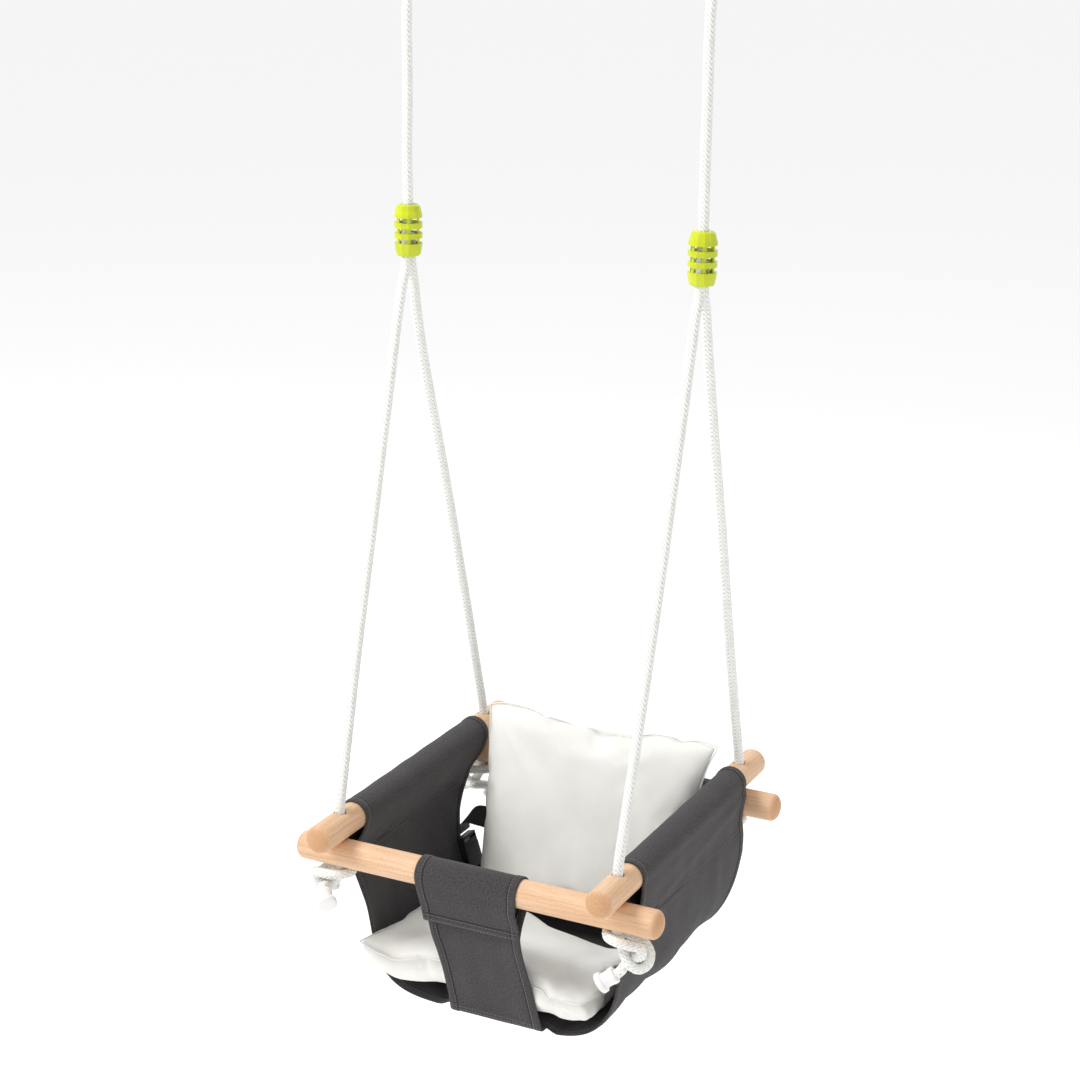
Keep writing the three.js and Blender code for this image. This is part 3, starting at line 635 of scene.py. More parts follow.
def make_rods():
    for number, (side, s) in enumerate(SIDES):
        rod(f"side_rod_{side}", (0, 1, 0), (s * HOLE, 0, 0), number)
    for number, (row, y) in enumerate((("front_rod", -HOLE), ("rear_rod", HOLE))):
        rod(row, (1, 0, 0), (0, y, CROSS_Z), number + 2)


# ---- cloth ----
def stations(length, spacing, hems):
    """Places across a sheet, close together at its edges and at the inner lines of its hems."""
    close = [0, 0.0004, 0.0011]
    marks = close + [length - x for x in close]
    fold = [HEM - 0.0005, HEM + 0.0001, HEM + 0.0007, HEM + 0.0016]
    marks += fold if hems[0] else []
    marks += [length - x for x in fold] if hems[1] else []
    regular = [x for x in np.arange(spacing, length, spacing) if min(abs(x - m) for m in marks) > 0.0013]
    return np.array(sorted(marks + regular))


def edge_profile(at, length, hems):
    """How thick the cloth is across a sheet, as a share of one layer, and how deep in a fold it lies."""
    share = 0.3 + 0.7 * smoothstep(np.minimum(at, length - at), 0, 0.0011) ** 0.5
    doubled, fold = np.zeros_like(at), np.zeros_like(at)
    for used, distance in zip(hems, (at, length - at)):
        if used:
            doubled = np.maximum(doubled, 1 - smoothstep(distance, HEM - 0.0005, HEM + 0.0001))
            fold = np.maximum(fold, np.exp(-(((distance - HEM - 0.0004) / 0.0006) ** 2)))
    return share, doubled, fold


class Cloth:
    """A closed sheet of cloth between stations s and t, from the points of its middle surface."""

    def __init__(self, name, s, t, middle, thickness, material, **place):
        self.s, self.t, self.middle = s, t, middle
        self.normal = unit(np.cross(np.gradient(middle, axis=0), np.gradient(middle, axis=1)))
        self.half = np.broadcast_to(thickness, middle.shape[:2])[..., None] / 2
        rows, cols = middle.shape[:2]
        count = rows * cols
        layers = np.concatenate([(middle + self.normal * self.half).reshape(-1, 3),
                                 (middle - self.normal * self.half).reshape(-1, 3)])
        around = np.concatenate([
            np.arange(cols), np.arange(1, rows) * cols + cols - 1,
            (rows - 1) * cols + np.arange(cols - 2, -1, -1), np.arange(rows - 2, 0, -1) * cols,
        ])
        after = np.roll(around, -1)
        rim = np.stack([around, after, after + count, around + count], axis=-1)
        faces = np.concatenate([quads(rows, cols), quads(rows, cols, flip=True, start=count), rim])
        self.obj = piece(name, layers, faces.tolist(), material, **place)
        grid = np.stack(np.broadcast_arrays(s[:, None], t[None, :], 0.0), axis=-1).reshape(-1, 3)
        mark(self.obj, "cloth", np.concatenate([grid, grid + (0.31, 0.17, 0)]))

    def on(self, s, t, side, lift=0.0):
        """Points on one face of the cloth at the given places, and the outward normals there."""
        i = np.interp(s, self.s, np.arange(len(self.s)))
        j = np.interp(t, self.t, np.arange(len(self.t)))
        i0, j0 = np.minimum(i.astype(int), len(self.s) - 2), np.minimum(j.astype(int), len(self.t) - 2)
        u, v = (i - i0)[:, None], (j - j0)[:, None]

        def blended(field):
            top = field[i0, j0] * (1 - v) + field[i0, j0 + 1] * v
            return top * (1 - u) + (field[i0 + 1, j0] * (1 - v) + field[i0 + 1, j0 + 1] * v) * u

        normal = unit(blended(self.normal)) * side
        return blended(self.middle) + normal * (blended(self.half) + lift), normal


def hemmed(name, length, width, surface, hems, spacing, material, seams=(), **place):
    """A hemmed sheet: surface(s, t) gives its middle; hems says which of its s and t edges are folded."""
    s, t = stations(length, spacing, hems[0]), stations(width, spacing, hems[1])
    share_s, doubled_s, fold_s = edge_profile(s, length, hems[0])
    share_t, doubled_t, fold_t = edge_profile(t, width, hems[1])
    for at in seams:                       # a line of sewing pinches the cloth
        fold_s = np.maximum(fold_s, 0.45 * np.exp(-(((s - at) / 0.0012) ** 2)))
    doubled = np.maximum(doubled_s[:, None], doubled_t[None, :])
    fold = np.maximum(fold_s[:, None], fold_t[None, :])
    thickness = CANVAS * (1 + 0.8 * doubled) * share_s[:, None] * share_t[None, :] * (1 - 0.35 * fold)
    cloth = Cloth(name, s, t, surface(s[:, None], t[None, :]), thickness, material, **place)
    # the folds and sewing pinches are also kept for the material, which paints shade along them
    mark(cloth.obj, "crease_shade", np.tile(fold.ravel(), 2))
    return cloth


STITCH = 0.0034
THREAD_R = 0.00030
THREAD_LIFT = 0.00005


def stitches(name, lines, material, **place):
    """Rows of stitches, each a short pointed bead; each line is its points and the outward normals there."""
    ring = [(-0.36, 0.8), (0, 1.0), (0.36, 0.8)]
    sides = 6
    angle = np.linspace(0, 2 * math.pi, sides, endpoint=False)
    bead = [(x, r * math.cos(a), r * math.sin(a)) for x, r in ring for a in angle]
    template = np.array([(-0.5, 0, 0)] + bead + [(0.5, 0, 0)])
    faces = [(0, 1 + (k + 1) % sides, 1 + k) for k in range(sides)]
    faces += quads(len(ring), sides, wrap=True, flip=True, start=1).tolist()
    last = len(template) - 1
    faces += [(last, last - sides + k, last - sides + (k + 1) % sides) for k in range(sides)]
    flat = [tuple(reversed(f)) for f in faces]
    points, all_faces, count = [], [], 0
    for line, normal in lines:
        far = along(line)
        for middle in np.arange(STITCH / 2, far[-1], STITCH):
            ends = [np.array([np.interp(x, far, line[:, k]) for k in range(3)])
                    for x in (middle - STITCH * 0.36, middle + STITCH * 0.36)]
            out = np.array([np.interp(middle, far, normal[:, k]) for k in range(3)])
            run = ends[1] - ends[0]
            length = np.linalg.norm(run)
            run = run / length
            out = unit(out - run * (out @ run))
            axes = np.stack([run * length, out * THREAD_R, np.cross(run, out) * THREAD_R])
            points.append(template @ axes + (ends[0] + ends[1]) / 2)
            all_faces += [tuple(k + count for k in f) for f in flat]
            count += len(template)
    return piece(name, np.concatenate(points), all_faces, material, **place)


def seam_line(cloth, s=None, t=None, low=None, high=None):
    """Lines on both faces of a cloth along one of its directions, at a fixed place in the other."""
    fixed, moving = (s, cloth.t) if s is not None else (t, cloth.s)
    low = moving[0] + 0.001 if low is None else low
    high = moving[-1] - 0.001 if high is None else high
    run = np.arange(low, high, 0.002)
    still = np.full_like(run, fixed)
    places = (still, run) if s is not None else (run, still)
    return [cloth.on(*places, side, THREAD_LIFT) for side in (1, -1)]


def sew(name, cloth, width, inset, across):
    """Stitches on both faces of a canvas sheet: down its two side hems, inset from their inner edges, and
    across it at the given places."""
    lines = [line for t in (HEM - inset, width - HEM + inset) for line in seam_line(cloth, t=t)]
    lines += [line for s in across for line in seam_line(cloth, s=s)]
    stitches(f"{name}_stitching", lines, GREY_THREAD, slot="canvas")


# ---- the sling ----
TUNNEL_R = ROD_R + 0.0006 + CANVAS / 2
SEAM_Z = -0.0535
SLING_HALF_WIDTH = 0.170
SLING_TOP = -0.040
SLING_DEPTH = 0.158
SLING_POWER = 3.2
SLING_WIDTH = 0.268
# its front edge is narrower and squarer, and flares out to the side rods
FRONT_HALF_WIDTH = 0.1415
FRONT_DEPTH = 0.157
FRONT_POWER = 5
FRONT_FLARE = 0.027
STRIP_PULL = 0.0068
CANVAS_SPACING = 0.004
# which edges are folded: first the two ends of the section, then the two sides
TUNNEL_HEMS = ((False, True), (True, True))
PANEL_HEMS = ((False, False), (True, True))
# the side panels' edges, as (depth under the side rods' axes, y)
REAR_EDGE_RIGHT = ((0, 0.139), (0.022, 0.141), (0.045, 0.1415), (0.062, 0.147), (0.085, 0.149),
                   (0.120, 0.138), (0.154, 0.126), (0.21, 0.128))
REAR_EDGE_LEFT = ((0, 0.139), (0.022, 0.141), (0.045, 0.1415), (0.058, 0.142), (0.071, 0.131), (0.093, 0.117),
                  (0.120, 0.109), (0.150, 0.113), (0.170, 0.121), (0.21, 0.128))
FRONT_EDGE = ((0, -0.132), (0.060, -0.130), (0.120, -0.1265), (0.170, -0.126), (0.21, -0.128))


def sling_z(x):
    """Height of the sling's floor behind its front edge."""
    t = np.clip(np.abs(x) / SLING_HALF_WIDTH, 0, 1)
    return SLING_TOP - SLING_DEPTH * (1 - t**SLING_POWER) ** (1 / SLING_POWER)


def squared(angle, half_width, depth, power):
    """A point on a quarter of a squared ellipse, from its side at 0 to its lowest point at a right angle."""
    return half_width * math.cos(angle) ** (2 / power), SLING_TOP - depth * math.sin(angle) ** (2 / power)


def front_edge(angle):
    """A point of the front edge's own section."""
    x, z = squared(angle, FRONT_HALF_WIDTH, FRONT_DEPTH, FRONT_POWER)
    return x + FRONT_FLARE * min(1, math.exp((z - SEAM_Z) / 0.028)) * x / FRONT_HALF_WIDTH, z


def sling_section(hanging):
    """The sling's whole section as (x, z): tunnel hem, tunnel, side, floor, and the same again mirrored."""
    half = [(HOLE + 0.0097, SEAM_Z - 0.0085), (HOLE + 0.0092, SEAM_Z), (HOLE + 0.0045, SEAM_Z + 0.010),
            (HOLE - 0.003, SEAM_Z + 0.022), (HOLE - 0.011, SEAM_Z + 0.036)]
    half += tunnel_arc(HOLE, 0) + [(HOLE + 0.0148, -0.018)]
    half += [hanging(a) for a in np.radians(np.arange(0, 91, 5))]
    return half + [(-x, z) for x, z in half[-2::-1]]


def tunnel_arc(centre, height):
    """Cloth over the top of a rod, from its inner side to its outer side."""
    angles = np.radians(np.arange(200, -21, -10))
    return [(centre + TUNNEL_R * math.cos(a), height + TUNNEL_R * math.sin(a)) for a in angles]


def line_with_columns(rows, size, step):
    """A smooth line through the first columns of some rows, and their other columns interpolated along it."""
    rows = np.array(rows, float)
    line = spline(rows[:, :size], step)
    far = along(line)
    nearest = [far[np.argmin(np.linalg.norm(line - row[:size], axis=1))] for row in rows]
    return line, np.stack([np.interp(far, nearest, column) for column in rows[:, size:].T], axis=1)


def curve_through(points, step=0.001):
    """A smooth section: its length, and a function from distance along it to its points."""
    line = spline(points, step)
    far = along(line)
    return far[-1], lambda at: np.stack([np.interp(at, far, line[:, k]) for k in range(2)], axis=-1)


def make_sling():
    length, curve = curve_through(sling_section(
        lambda a: squared(a, SLING_HALF_WIDTH, SLING_DEPTH, SLING_POWER)))
    front_length, front_curve = curve_through(sling_section(front_edge))
    places = np.arange(0, length, 0.0005)
    outside = (places > 0.08) & (curve(places)[:, 1] < SEAM_Z)
    seam = places[np.argmax(outside)]      # where the outer side of the tunnel reaches the seam
    seams = [0.0085, seam, seam + 0.006, length - seam - 0.006, length - seam, length - 0.0085]

    def surface(s, t):
        at = curve(s[:, 0])
        at_front = front_curve(s[:, 0] * front_length / length)
        run = unit(np.gradient(at, axis=0))
        out = np.stack([-run[:, 1], 0 * run[:, 0], run[:, 0]], axis=-1)
        share = t / SLING_WIDTH
        depth = -at[:, 1]
        rear = np.where(at[:, 0] > 0, np.interp(depth, *zip(*REAR_EDGE_RIGHT)),
                        np.interp(depth, *zip(*REAR_EDGE_LEFT)))
        ahead = np.interp(depth, *zip(*FRONT_EDGE))
        y = ahead[:, None] * (1 - share) + rear[:, None] * share
        narrowing = (1 - share) ** 2
        x = at[:, :1] * (1 - narrowing) + at_front[:, :1] * narrowing
        z = at[:, 1:] * (1 - narrowing) + at_front[:, 1:] * narrowing
        p = np.stack([x, y, z], axis=-1)
        low = smoothstep(-z, 0.06, 0.10)
        right = smoothstep(x, 0.05, 0.12)
        wave = 0.0007 * ripple(p, 0.045, 3)
        wave = wave + low * (0.0014 + 0.0016 * right) * ripple(p * (1, 1, 0.35), 0.085, 8)
        wave = wave * (0.25 + 0.75 * smoothstep(-z, 0.02, 0.07))
        # a low crease on the outer faces, rising towards the rear
        ridge_z = -0.050 + 0.036 * (p[..., 1] + 0.125) / 0.26
        outer = (np.abs(at[:, :1]) > HOLE) & (s > 0.06) & (s < length - 0.06)
        wave = wave - outer * 0.0012 * np.exp(-(((p[..., 2] - ridge_z) / 0.006) ** 2))
        p = p - out[:, None] * wave[..., None]
        # the left panel leans in a little at its rear edge, and the front strip pulls the floor up
        leaning = smoothstep(-x, 0.12, 0.15) * smoothstep(share, 0.80, 1.0) * smoothstep(-z, 0.055, 0.085)
        p[..., 0] += 0.001 * leaning * (1 - smoothstep(-z, 0.14, 0.18))
        by_the_strip = (1 - smoothstep(np.abs(x - 0.010), 0.053, 0.070)) * smoothstep(-z, 0.15, 0.18)
        p[..., 2] += STRIP_PULL * (1 - share) ** 2 * by_the_strip
        return p

    cloth = hemmed("canvas_sling", length, SLING_WIDTH, surface, PANEL_HEMS, CANVAS_SPACING, CHARCOAL,
                   seams=seams, slot="canvas", replaces=["seat_sling"])
    sew("sling", cloth, SLING_WIDTH, 0.0015, seams)


# ---- front strip and back panel, each sewn under a tunnel round its cross rod ----
def cross_panel(name, direction, rows, hems, sag=0.0, seed=1, replaces=(), spacing=CANVAS_SPACING):
    """A panel whose section runs in y and z, from rows of (distance from the middle, z, half width, shift,
    follow); shift moves it sideways and follow is how much of the sling's curve it takes."""
    line, others = line_with_columns(rows, 2, 0.001)
    far = along(line)
    length = far[-1]
    width = 2 * others[:, 0].max()

    def surface(s, t):
        columns = np.concatenate([line, others], axis=1).T
        out, z, half, shift, follow = (np.interp(s[:, 0], far, column)[:, None] for column in columns)
        share = t / width if direction < 0 else 1 - t / width
        x = -half + 2 * half * share + shift
        z = z + follow * (sling_z(x) - sling_z(0))
        y = direction * np.broadcast_to(out, x.shape)
        p = np.stack([x, y, z], axis=-1)
        loose = smoothstep(-z, 0.055, 0.09) * (1 - smoothstep(-z, 0.175, 0.195))
        belly = np.cos(np.clip(x / half, -1, 1) * math.pi / 2)
        p[..., 1] -= direction * loose * (sag * belly + 0.0009 * ripple(p, 0.06, seed))
        p[..., 1] += direction * 0.0004 * ripple(p, 0.03, seed + 1)
        return p

    cloth = hemmed(name, length, width, surface, hems, spacing, CHARCOAL, slot="canvas", replaces=replaces)
    return cloth, length, width


def tunnel(name, direction, half_width, low_width, shift, back_z, front_z, seed):
    """The tunnel over a cross rod, with its two lower edges one behind the other."""
    back_low = (low_width + half_width) / 2
    rows = [(HOLE + 0.0062, back_z, low_width, 0, 0), (HOLE + 0.0035, back_z + 0.014, back_low, 0, 0),
            (HOLE - 0.0030, back_z + 0.025, half_width - 0.001, 0, 0),
            (HOLE - 0.0125, back_z + 0.038, half_width, 0, 0)]
    rows += [(out, z, half_width, shift, 0) for out, z in tunnel_arc(HOLE, CROSS_Z)]
    rows += [(HOLE + 0.0145, CROSS_Z - 0.018, half_width - 0.0015, shift * 0.8, 0),
             (HOLE + 0.0115, CROSS_Z - 0.033, back_low, 0, 0),
             (HOLE + 0.0092, front_z + 0.005, low_width + 0.0006, 0, 0),
             (HOLE + 0.0086, front_z, low_width, 0, 0)]
    cloth, length, width = cross_panel(name, direction, rows, TUNNEL_HEMS, seed=seed, spacing=0.0035)
    sew(name, cloth, width, 0.0013, (length - 0.0022, length - 0.0078))
    return cloth, length, width


def panel_under_tunnel(name, direction, tunnel_shape, node, rows, sag, seed, lap):
    """A tunnel over a cross rod and the panel under it, which is sewn to the sling lap from its lower end."""
    cloth, length, width = tunnel(name, direction, *tunnel_shape)
    panel, length, width = cross_panel(f"{node}_canvas", direction, rows, PANEL_HEMS, sag=sag, seed=seed,
                                       replaces=[node])
    low = length - lap
    sew(node, panel, width, 0.0012, (low, low + 0.003))


def make_front():
    hook = float(sling_z(0)) - CANVAS + 0.0058
    rows = [(HOLE + 0.0072, -0.070, 0.0525, 0.003, 0), (HOLE + 0.0072, -0.080, 0.0525, 0.003, 0),
            (HOLE + 0.0055, -0.092, 0.0522, 0.004, 0), (HOLE - 0.0005, -0.113, 0.052, 0.006, 0),
            (HOLE - 0.0105, -0.150, 0.052, 0.010, 0), (HOLE - 0.0172, -0.176, 0.0525, 0.0125, 0.15),
            (HOLE - 0.0198, -0.188, 0.053, 0.0135, 0.3), (HOLE - 0.0205, hook + 0.0022, 0.053, 0.014, 0.3),
            (HOLE - 0.0245, hook, 0.053, 0.014, 0.3), (HOLE - 0.032, hook - 0.0006, 0.053, 0.014, 0.3),
            (HOLE - 0.041, hook - 0.0016, 0.053, 0.014, 0.3)]
    panel_under_tunnel("front_tunnel", -1, (0.0575, 0.0545, -0.0035, -0.078, -0.0795, 21),
                       "front_strip", rows, sag=0.003, seed=31, lap=0.0265)


def make_back():
    hook = float(sling_z(0)) - CANVAS - 0.0009
    rows = [(HOLE + 0.0072, -0.072, 0.131, 0, 0), (HOLE + 0.0072, -0.084, 0.130, 0, 0),
            (HOLE + 0.004, -0.096, 0.127, 0, 0), (HOLE - 0.001, -0.112, 0.123, 0, 0),
            (HOLE - 0.0105, -0.146, 0.114, 0, 0), (HOLE - 0.020, -0.178, 0.106, 0, 0.5),
            (HOLE - 0.0245, -0.192, 0.102, 0, 1), (HOLE - 0.026, hook + 0.0026, 0.101, 0, 1),
            (HOLE - 0.0295, hook, 0.101, 0, 1), (HOLE - 0.042, hook, 0.101, 0, 1),
            (HOLE - 0.054, hook, 0.101, 0, 1)]
    panel_under_tunnel("back_tunnel", 1, (0.136, 0.131, 0, -0.084, -0.0835, 41),
                       "back_panel", rows, sag=0.002, seed=51, lap=0.036)


# ---- cushions ----
CUSHION_CELL = 0.006
CUSHION_FRAMES = 20
CUSHION_PRESSURE = 4.0
CUSHION_STIFFNESS = 15


def flat_cover(name, width, height):
    """Two square layers of cotton sewn together along their edges, lying flat and a little apart."""
    nx, ny = round(width / CUSHION_CELL), round(height / CUSHION_CELL)
    points, faces, index = [], [], {}
    for side in (1, -1):
        for i in range(nx + 1):
            for j in range(ny + 1):
                seam = i in (0, nx) or j in (0, ny)
                key = (0 if seam else side, i, j)
                if key not in index:
                    index[key] = len(points)
                    lift = 0 if seam else side * 0.0025
                    points.append(((i / nx - 0.5) * width, (j / ny - 0.5) * height, lift))
    for side in (1, -1):
        for i in range(nx):
            for j in range(ny):
                corners = ((i, j), (i + 1, j), (i + 1, j + 1), (i, j + 1))
                ring = [index[(0, *c) if (0, *c) in index else (side, *c)] for c in corners]
                faces.append(ring if side > 0 else ring[::-1])
    rim = [(i, 0) for i in range(nx)] + [(nx, j) for j in range(ny)]
    rim += [(i, ny) for i in range(nx, 0, -1)] + [(0, j) for j in range(ny, 0, -1)]
    points = np.array(points)
    points[:, 2] += 0.0006 * ripple(points, 0.05, len(name))
    return points, faces, [index[(0, *c)] for c in rim]


def inflate(points, faces):
    """Blows a flat cover up by cloth simulation and returns its points."""
    mesh = bpy.data.meshes.new("cover")
    mesh.from_pydata(points.tolist(), [], faces)
    obj = bpy.data.objects.new("cover", mesh)
    bpy.context.scene.collection.objects.link(obj)
    modifier = obj.modifiers.new("cloth", "CLOTH")
    cloth = modifier.settings
    cloth.quality = 7
    cloth.mass = 0.25
    cloth.tension_stiffness = cloth.compression_stiffness = CUSHION_STIFFNESS
    cloth.shear_stiffness = CUSHION_STIFFNESS * 0.35
    cloth.bending_stiffness = 0.25
    cloth.tension_damping = cloth.compression_damping = 12
    cloth.air_damping = 3
    cloth.use_pressure = True
    cloth.uniform_pressure_force = CUSHION_PRESSURE
    cloth.effector_weights.gravity = 0
    modifier.point_cache.frame_start, modifier.point_cache.frame_end = 1, CUSHION_FRAMES
    scene = bpy.context.scene
    for frame_number in range(1, CUSHION_FRAMES + 1):
        scene.frame_set(frame_number)
    shown = obj.evaluated_get(bpy.context.evaluated_depsgraph_get())
    blown = np.array([v.co for v in shown.data.vertices], float)
    bpy.data.objects.remove(obj)
    scene.frame_set(1)
    return blown


CUSHION_WIDTH = 0.276
CUSHION_HALF_THICK = 0.027
CUSHION_SEAM_R = 0.0009
SEAT_CUSHION = {"cut": (0.306, 0.228), "x": -0.004, "front": -0.150, "rear z": -0.178,
                "depth": 0.204, "short": 0.052, "curl": 1.6, "over": 0.026, "under": 0.036}
BACK_CUSHION = {"cut": (0.306, 0.244), "x": 0.005, "y": 0.094, "z": -0.064, "height": 0.218,
                "taper": 0.14}
BACK_LEAN = math.radians(17)
# the seat cushion's front seam as (x, z): it rises in the middle and dips beside both corners
FRONT_SEAM = ((-0.142, -0.1335), (-0.125, -0.139), (-0.102, -0.145), (-0.080, -0.141), (-0.059, -0.1345),
              (0, -0.132), (0.050, -0.137), (0.073, -0.1395), (0.088, -0.147), (0.104, -0.150),
              (0.134, -0.147))
# the crease down its front, beside the right corner, and how far that corner is tucked in
FOLD_X = 0.083
FOLD_SIZE = 0.007
TUCK = 0.019
ABOVE_SLING = 0.0030


def loop_tube(name, line, upward, radius, sides, material, **place):
    """A closed loop of round cord; upward is never along it."""
    direction = unit(np.roll(line, -1, axis=0) - np.roll(line, 1, axis=0))
    side = unit(np.cross(direction, upward))
    rise = np.cross(side, direction)
    angle = np.linspace(0, 2 * math.pi, sides, endpoint=False)
    ring = radius * (np.cos(angle)[:, None] * side[:, None] + np.sin(angle)[:, None] * rise[:, None])
    points = (line[:, None] + ring).reshape(-1, 3)
    faces = quads(len(line), sides, wrap=True)
    last = (len(line) - 1) * sides
    around = np.arange(sides)
    close = np.stack([last + around, around, (around + 1) % sides, last + (around + 1) % sides], axis=-1)
    return piece(name, points, np.concatenate([faces, close]), material, **place)


def cushion(name, node, cut, place, upward, body):
    """A cushion blown up by simulation, then bent to its place by place(u, v, h), each from -1 to 1."""
    flat, faces, rim = flat_cover(name, *cut)
    blown = inflate(flat, faces)
    shares = blown / np.abs(blown).max(axis=0)
    points = place(*shares.T)
    obj = piece(name, points, faces, COTTON, body=body, slot="cushion_cover", replaces=[node])
    mark(obj, "cloth", flat * (1, 1, 0) + np.where(flat[:, 2:] < 0, 0.37, 0) * (1, 0, 0))
    # painted shade along the cushion's sewn rim
    seam_shade = np.zeros(len(flat))
    seam_shade[rim] = 0.7
    mark(obj, "crease_shade", seam_shade)
    subdivision = obj.modifiers.new("subdivision", "SUBSURF")
    subdivision.levels = subdivision.render_levels = 1
    settle(obj)
    seam = loop_tube(f"{name}_seam", points[rim], upward, CUSHION_SEAM_R, 8, COTTON, body=body,
                     slot="cushion_cover")
    mark(seam, "cloth", np.array([v.co for v in seam.data.vertices], float))
    # the seam cord is painted a little darker, as shade
    mark(seam, "crease_shade", np.full(len(seam.data.vertices), 0.35))
    return obj


def fuller(height, power):
    """A share of the height, raised so that the cover rises more steeply at its seam."""
    return np.sign(height) * np.clip(np.abs(height) / 0.97 - 0.03, 0, 1) ** power


def make_cushions():
    seat, back = SEAT_CUSHION, BACK_CUSHION

    def on_the_seat(u, v, h):
        """Tilted back, shorter on the right, its right front corner tucked in, lying on the sling."""
        v = v * (1 + 0.10 * np.abs(v) * (1 - u**4))
        x = u * CUSHION_WIDTH / 2 + seat["x"]
        right = smoothstep(x, 0.050, 0.120)
        under = fuller(h, 0.30 + 0.14 * right) * (1 - 0.22 * right)
        h = np.where(h > 0, fuller(h, 0.75), under)
        to_rear = (v + 1) / 2
        depth = seat["depth"] - seat["short"] * smoothstep(x, -0.070, 0.100)
        y = seat["front"] + depth * to_rear
        z = np.interp(x, *zip(*FRONT_SEAM)) * (1 - to_rear) + seat["rear z"] * to_rear
        z = z + seat["curl"] * x**2 * to_rear
        tuck = smoothstep(x, 0.060, 0.115) * (1 - smoothstep(y, -0.15, -0.10)) * np.exp(-(h / 0.25) ** 2)
        waves = 0.0022 * ripple(np.stack([x, y, h * 0.03], axis=-1), 0.075, 5)
        inside = np.sqrt(np.clip(1 - v**2, 0, 1))
        z = z + h * np.where(h > 0, seat["over"], seat["under"]) + waves * inside
        fold = np.exp(-((x - FOLD_X - 0.25 * (z + 0.15)) / FOLD_SIZE) ** 2)
        fold = fold * (1 - smoothstep(to_rear, 0.06, 0.22))
        y = y + FOLD_SIZE * fold * (h < 0) + 0.008 * tuck
        return np.stack([x - TUCK * tuck, y, np.maximum(z - 0.004 * fold, sling_z(x) + ABOVE_SLING)], axis=-1)

    def against_the_back(u, v, h):
        """Leaning back, wider above, with a pulled-out right top corner."""
        h = fuller(h, 0.72)
        ear = smoothstep(u * v, 0.72, 1.0) * (v > 0)
        v = v * (1 + np.where(v > 0, 0.17, 0.08) * np.abs(v) * (1 - u**4))
        taper = 1 - back["taper"] * np.clip(-v, 0, 1) - np.where(u < 0, 0.01, 0.035) * (1 - v**2) + 0.03 * ear
        along_back = np.array((0, math.sin(BACK_LEAN), math.cos(BACK_LEAN)))
        out_of_back = np.array((0, -math.cos(BACK_LEAN), math.sin(BACK_LEAN)))
        across = np.array((1.0, 0, 0))
        middle = np.array((back["x"], back["y"], back["z"]))
        return (middle + (u * taper)[:, None] * across * CUSHION_WIDTH / 2
                + v[:, None] * along_back * back["height"] / 2
                + h[:, None] * out_of_back * CUSHION_HALF_THICK)

    cushion("seat_pillow", "seat_cushion", seat["cut"], on_the_seat, (0, 0, 1), "seat")
    cushion("back_pillow_cover", "back_cushion", back["cut"], against_the_back, (0, -0.956, 0.292),
            "back_pillow")


# ---- belt and buckle ----
WEBBING_WIDTH = 0.024
WEBBING_THICK = 0.0015
# middle line of the webbing, and the direction of its width, as (x, y, z, width x, width y, width z)
BELT_LONG = (
    (0.161, 0.118, -0.106, 0, 0, 1), (0.150, 0.130, -0.107, 0, 0, 1), (0.120, 0.136, -0.109, 0, 0, 1),
    (0.060, 0.137, -0.112, 0, 0, 1), (0, 0.137, -0.112, 0, 0, 1), (-0.060, 0.137, -0.111, 0, 0, 1),
    (-0.110, 0.133, -0.107, 0, 0, 1), (-0.128, 0.126, -0.101, 0, 0.25, 1),
    (-0.139, 0.116, -0.094, 0, 0.6, 0.8), (-0.147, 0.106, -0.091, 0, 0.9, 0.45),
    (-0.151, 0.100, -0.097, 0, 1, 0.1), (-0.150, 0.098, -0.108, 0, 1, 0),
)
BELT_SHORT = (
    (-0.1345, 0.098, -0.159, 0, 1, 0), (-0.130, 0.098, -0.167, 0, 1, 0), (-0.122, 0.098, -0.176, 0, 1, 0),
    (-0.110, 0.098, -0.182, 0, 1, 0), (-0.097, 0.098, -0.1866, 0, 1, 0),
)


def belt(name, rows, node, body):
    line, across = line_with_columns(rows, 3, 0.003)
    s = along(line)
    t = np.array([0, 0.0006, 0.0016, 0.003, 0.008, 0.012, 0.016, 0.021, 0.0224, 0.0234, WEBBING_WIDTH])
    middle = line[:, None] + unit(across)[:, None] * (t - WEBBING_WIDTH / 2)[None, :, None]
    edge = 0.55 + 0.45 * smoothstep(np.minimum(t, WEBBING_WIDTH - t), 0, 0.0014)
    thickness = WEBBING_THICK * np.broadcast_to(edge, middle.shape[:2])
    return Cloth(name, s, t, middle, thickness, WEBBING, body=body, slot="webbing", replaces=[node])


def make_belt():
    long = belt("belt_long_webbing", BELT_LONG, "belt_long", None)
    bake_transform(long.obj)
    short = belt("belt_short_webbing", BELT_SHORT, "belt_short", "seat")
    lines = []
    for t in (0.003, WEBBING_WIDTH - 0.003):
        lines += seam_line(long, t=t, low=0.002, high=0.024)
        lines += seam_line(short, t=t, low=short.s[-1] - 0.022, high=short.s[-1] - 0.002)
    for s in (0.003, 0.024):
        lines += seam_line(long, s=s)
    stitches("belt_stitching", lines, BLACK_THREAD, slot="webbing")
    for node in ("buckle_socket", "buckle_plug"):
        round_edges(node, 0.0006, BLACK_PLASTIC)


def round_edges(node, width, material):
    """Rounds a CAD part's edges and gives it its material."""
    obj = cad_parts[node]
    bevel = obj.modifiers.new("rounded", "BEVEL")
    bevel.width, bevel.segments = width, 2
    bevel.limit_method, bevel.angle_limit = "ANGLE", math.radians(32)
    bevel.harden_normals = True
    obj.data.materials.clear()
    obj.data.materials.append(material)


# ---- hanging fittings and adjusters ----
HANG_Z = 0.925
RING_R = 0.028
WIRE_R = 0.0035
EYE_R = 0.020
LEG = ROPE_R + 0.00035        # a leg of the eye is this far from the middle, and its groove this wide
FERRULE_R = 0.0076
FERRULE_LOW, FERRULE_HIGH = -0.070, -0.046


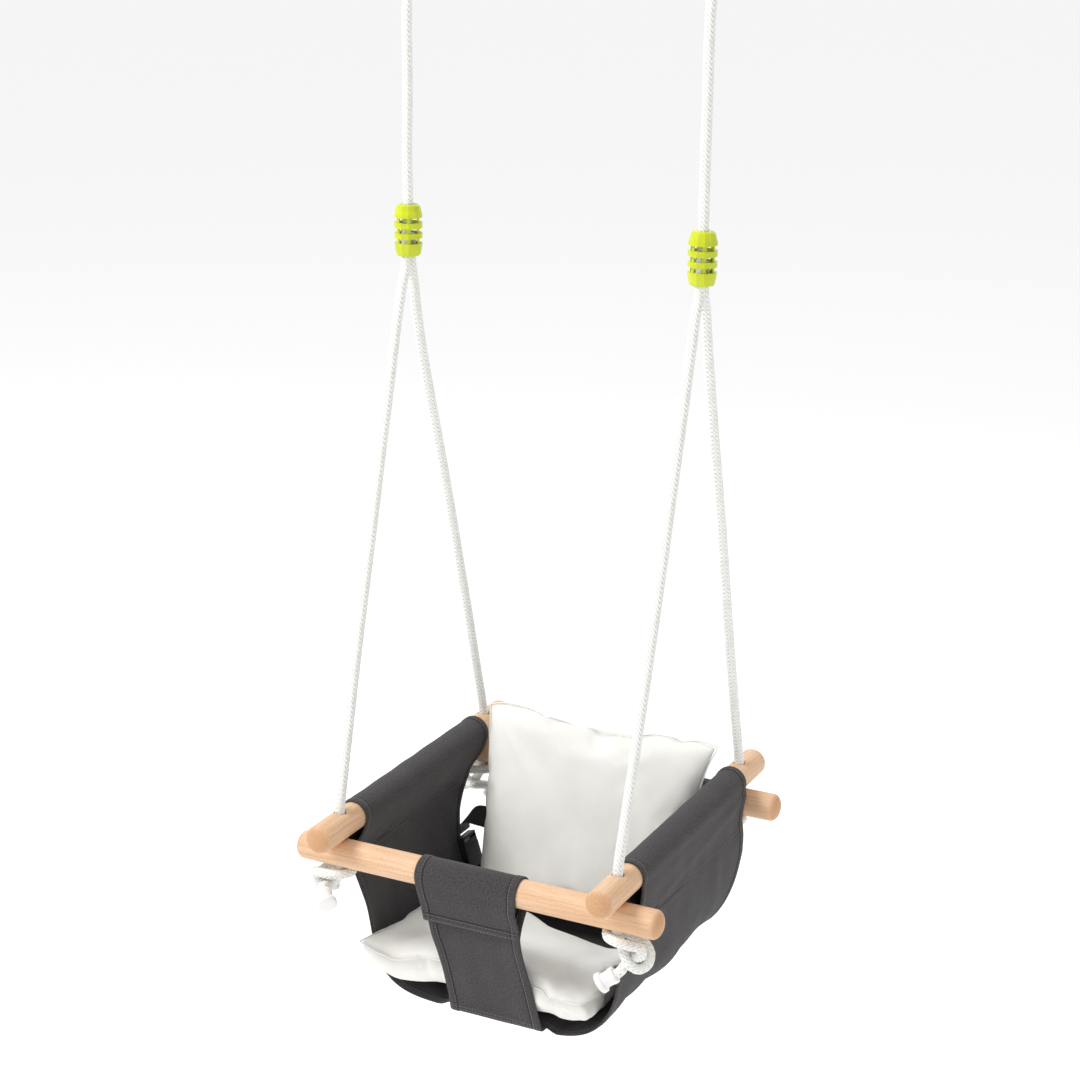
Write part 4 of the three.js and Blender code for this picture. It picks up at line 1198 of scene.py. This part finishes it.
def ring_of_wire(side, x):
    angle = np.linspace(0, 2 * math.pi, 24, endpoint=False)
    profile = [(RING_R + WIRE_R * math.cos(a), WIRE_R * math.sin(a)) for a in angle]
    points, faces = lathe(profile, 96)
    here = np.arctan2(points[:, 1], points[:, 0])
    weld = np.exp(-((here - 2.2) / 0.05) ** 2)           # the ring's welded joint stands a little proud
    middle = np.stack([np.cos(here), np.sin(here), 0 * here], axis=-1) * RING_R
    points = middle + (points - middle) * (1 + 0.09 * weld[:, None])
    piece(f"wire_ring_{side}", turned(points, (0, 1, 0), (x, 0, HANG_Z + RING_R)), faces, STEEL,
          body="hanging_rings", slot="steel", replaces=[f"hanging_ring_{side}"])


def thimble(side, x):
    """A grooved wheel in the rope's eye, with a hole for the ring."""
    arc = [math.radians(a) for a in range(-72, 73, 8)]
    profile = [(0.0054, -0.0064), (0.0060, -0.0070), (0.0174, -0.0070), (0.0180, -0.0066)]
    profile += [(EYE_R - LEG * math.cos(a), LEG * math.sin(a)) for a in arc]
    profile += [(r, -z) for r, z in profile[3::-1]]
    points, faces = lathe(profile, 72)
    obj = piece(f"rope_thimble_{side}", turned(points, (1, 0, 0), (x, 0, HANG_Z)), faces, WHITE_PLASTIC,
                slot="white_plastic", replaces=[f"thimble_{side}"])
    sharpen(obj, 50)


def ferrule(side, x):
    """An oval sleeve pressed round the two legs of the eye, with three crimps."""
    heights = np.linspace(FERRULE_LOW, FERRULE_HIGH, 33)
    lip = np.clip(np.minimum(heights - FERRULE_LOW, FERRULE_HIGH - heights) / 0.001, 0, 1)
    crimps = sum(np.exp(-((heights - c) / 0.0014) ** 2) for c in (-0.064, -0.058, -0.052))
    outer = FERRULE_R - 0.0006 * (1 - np.sqrt(lip)) - 0.0005 * crimps
    profile = [(r, z) for r, z in zip(outer, heights)] + [(LEG, FERRULE_HIGH), (LEG, FERRULE_LOW)]
    points, faces = lathe(profile, 64)
    points[:, 0] += LEG * np.clip(points[:, 0] / 0.0006, -1, 1)      # a circle pulled out into an oval
    along_y = np.stack([-points[:, 1] + x, points[:, 0], points[:, 2] + HANG_Z], axis=-1)
    obj = piece(f"pressed_ferrule_{side}", along_y, faces, STEEL, slot="steel", replaces=[f"ferrule_{side}"])
    sharpen(obj, 40)


def make_fittings():
    for side, s in SIDES:
        ring_of_wire(side, s * HANG_X)
        thimble(side, s * HANG_X)
        ferrule(side, s * HANG_X)
        round_edges(f"adjuster_{side}", 0.0005, GREEN_PLASTIC)


make_camera()
make_studio()
make_ropes()
make_rods()
make_fittings()
make_sling()
make_front()
make_back()
make_cushions()
make_belt()
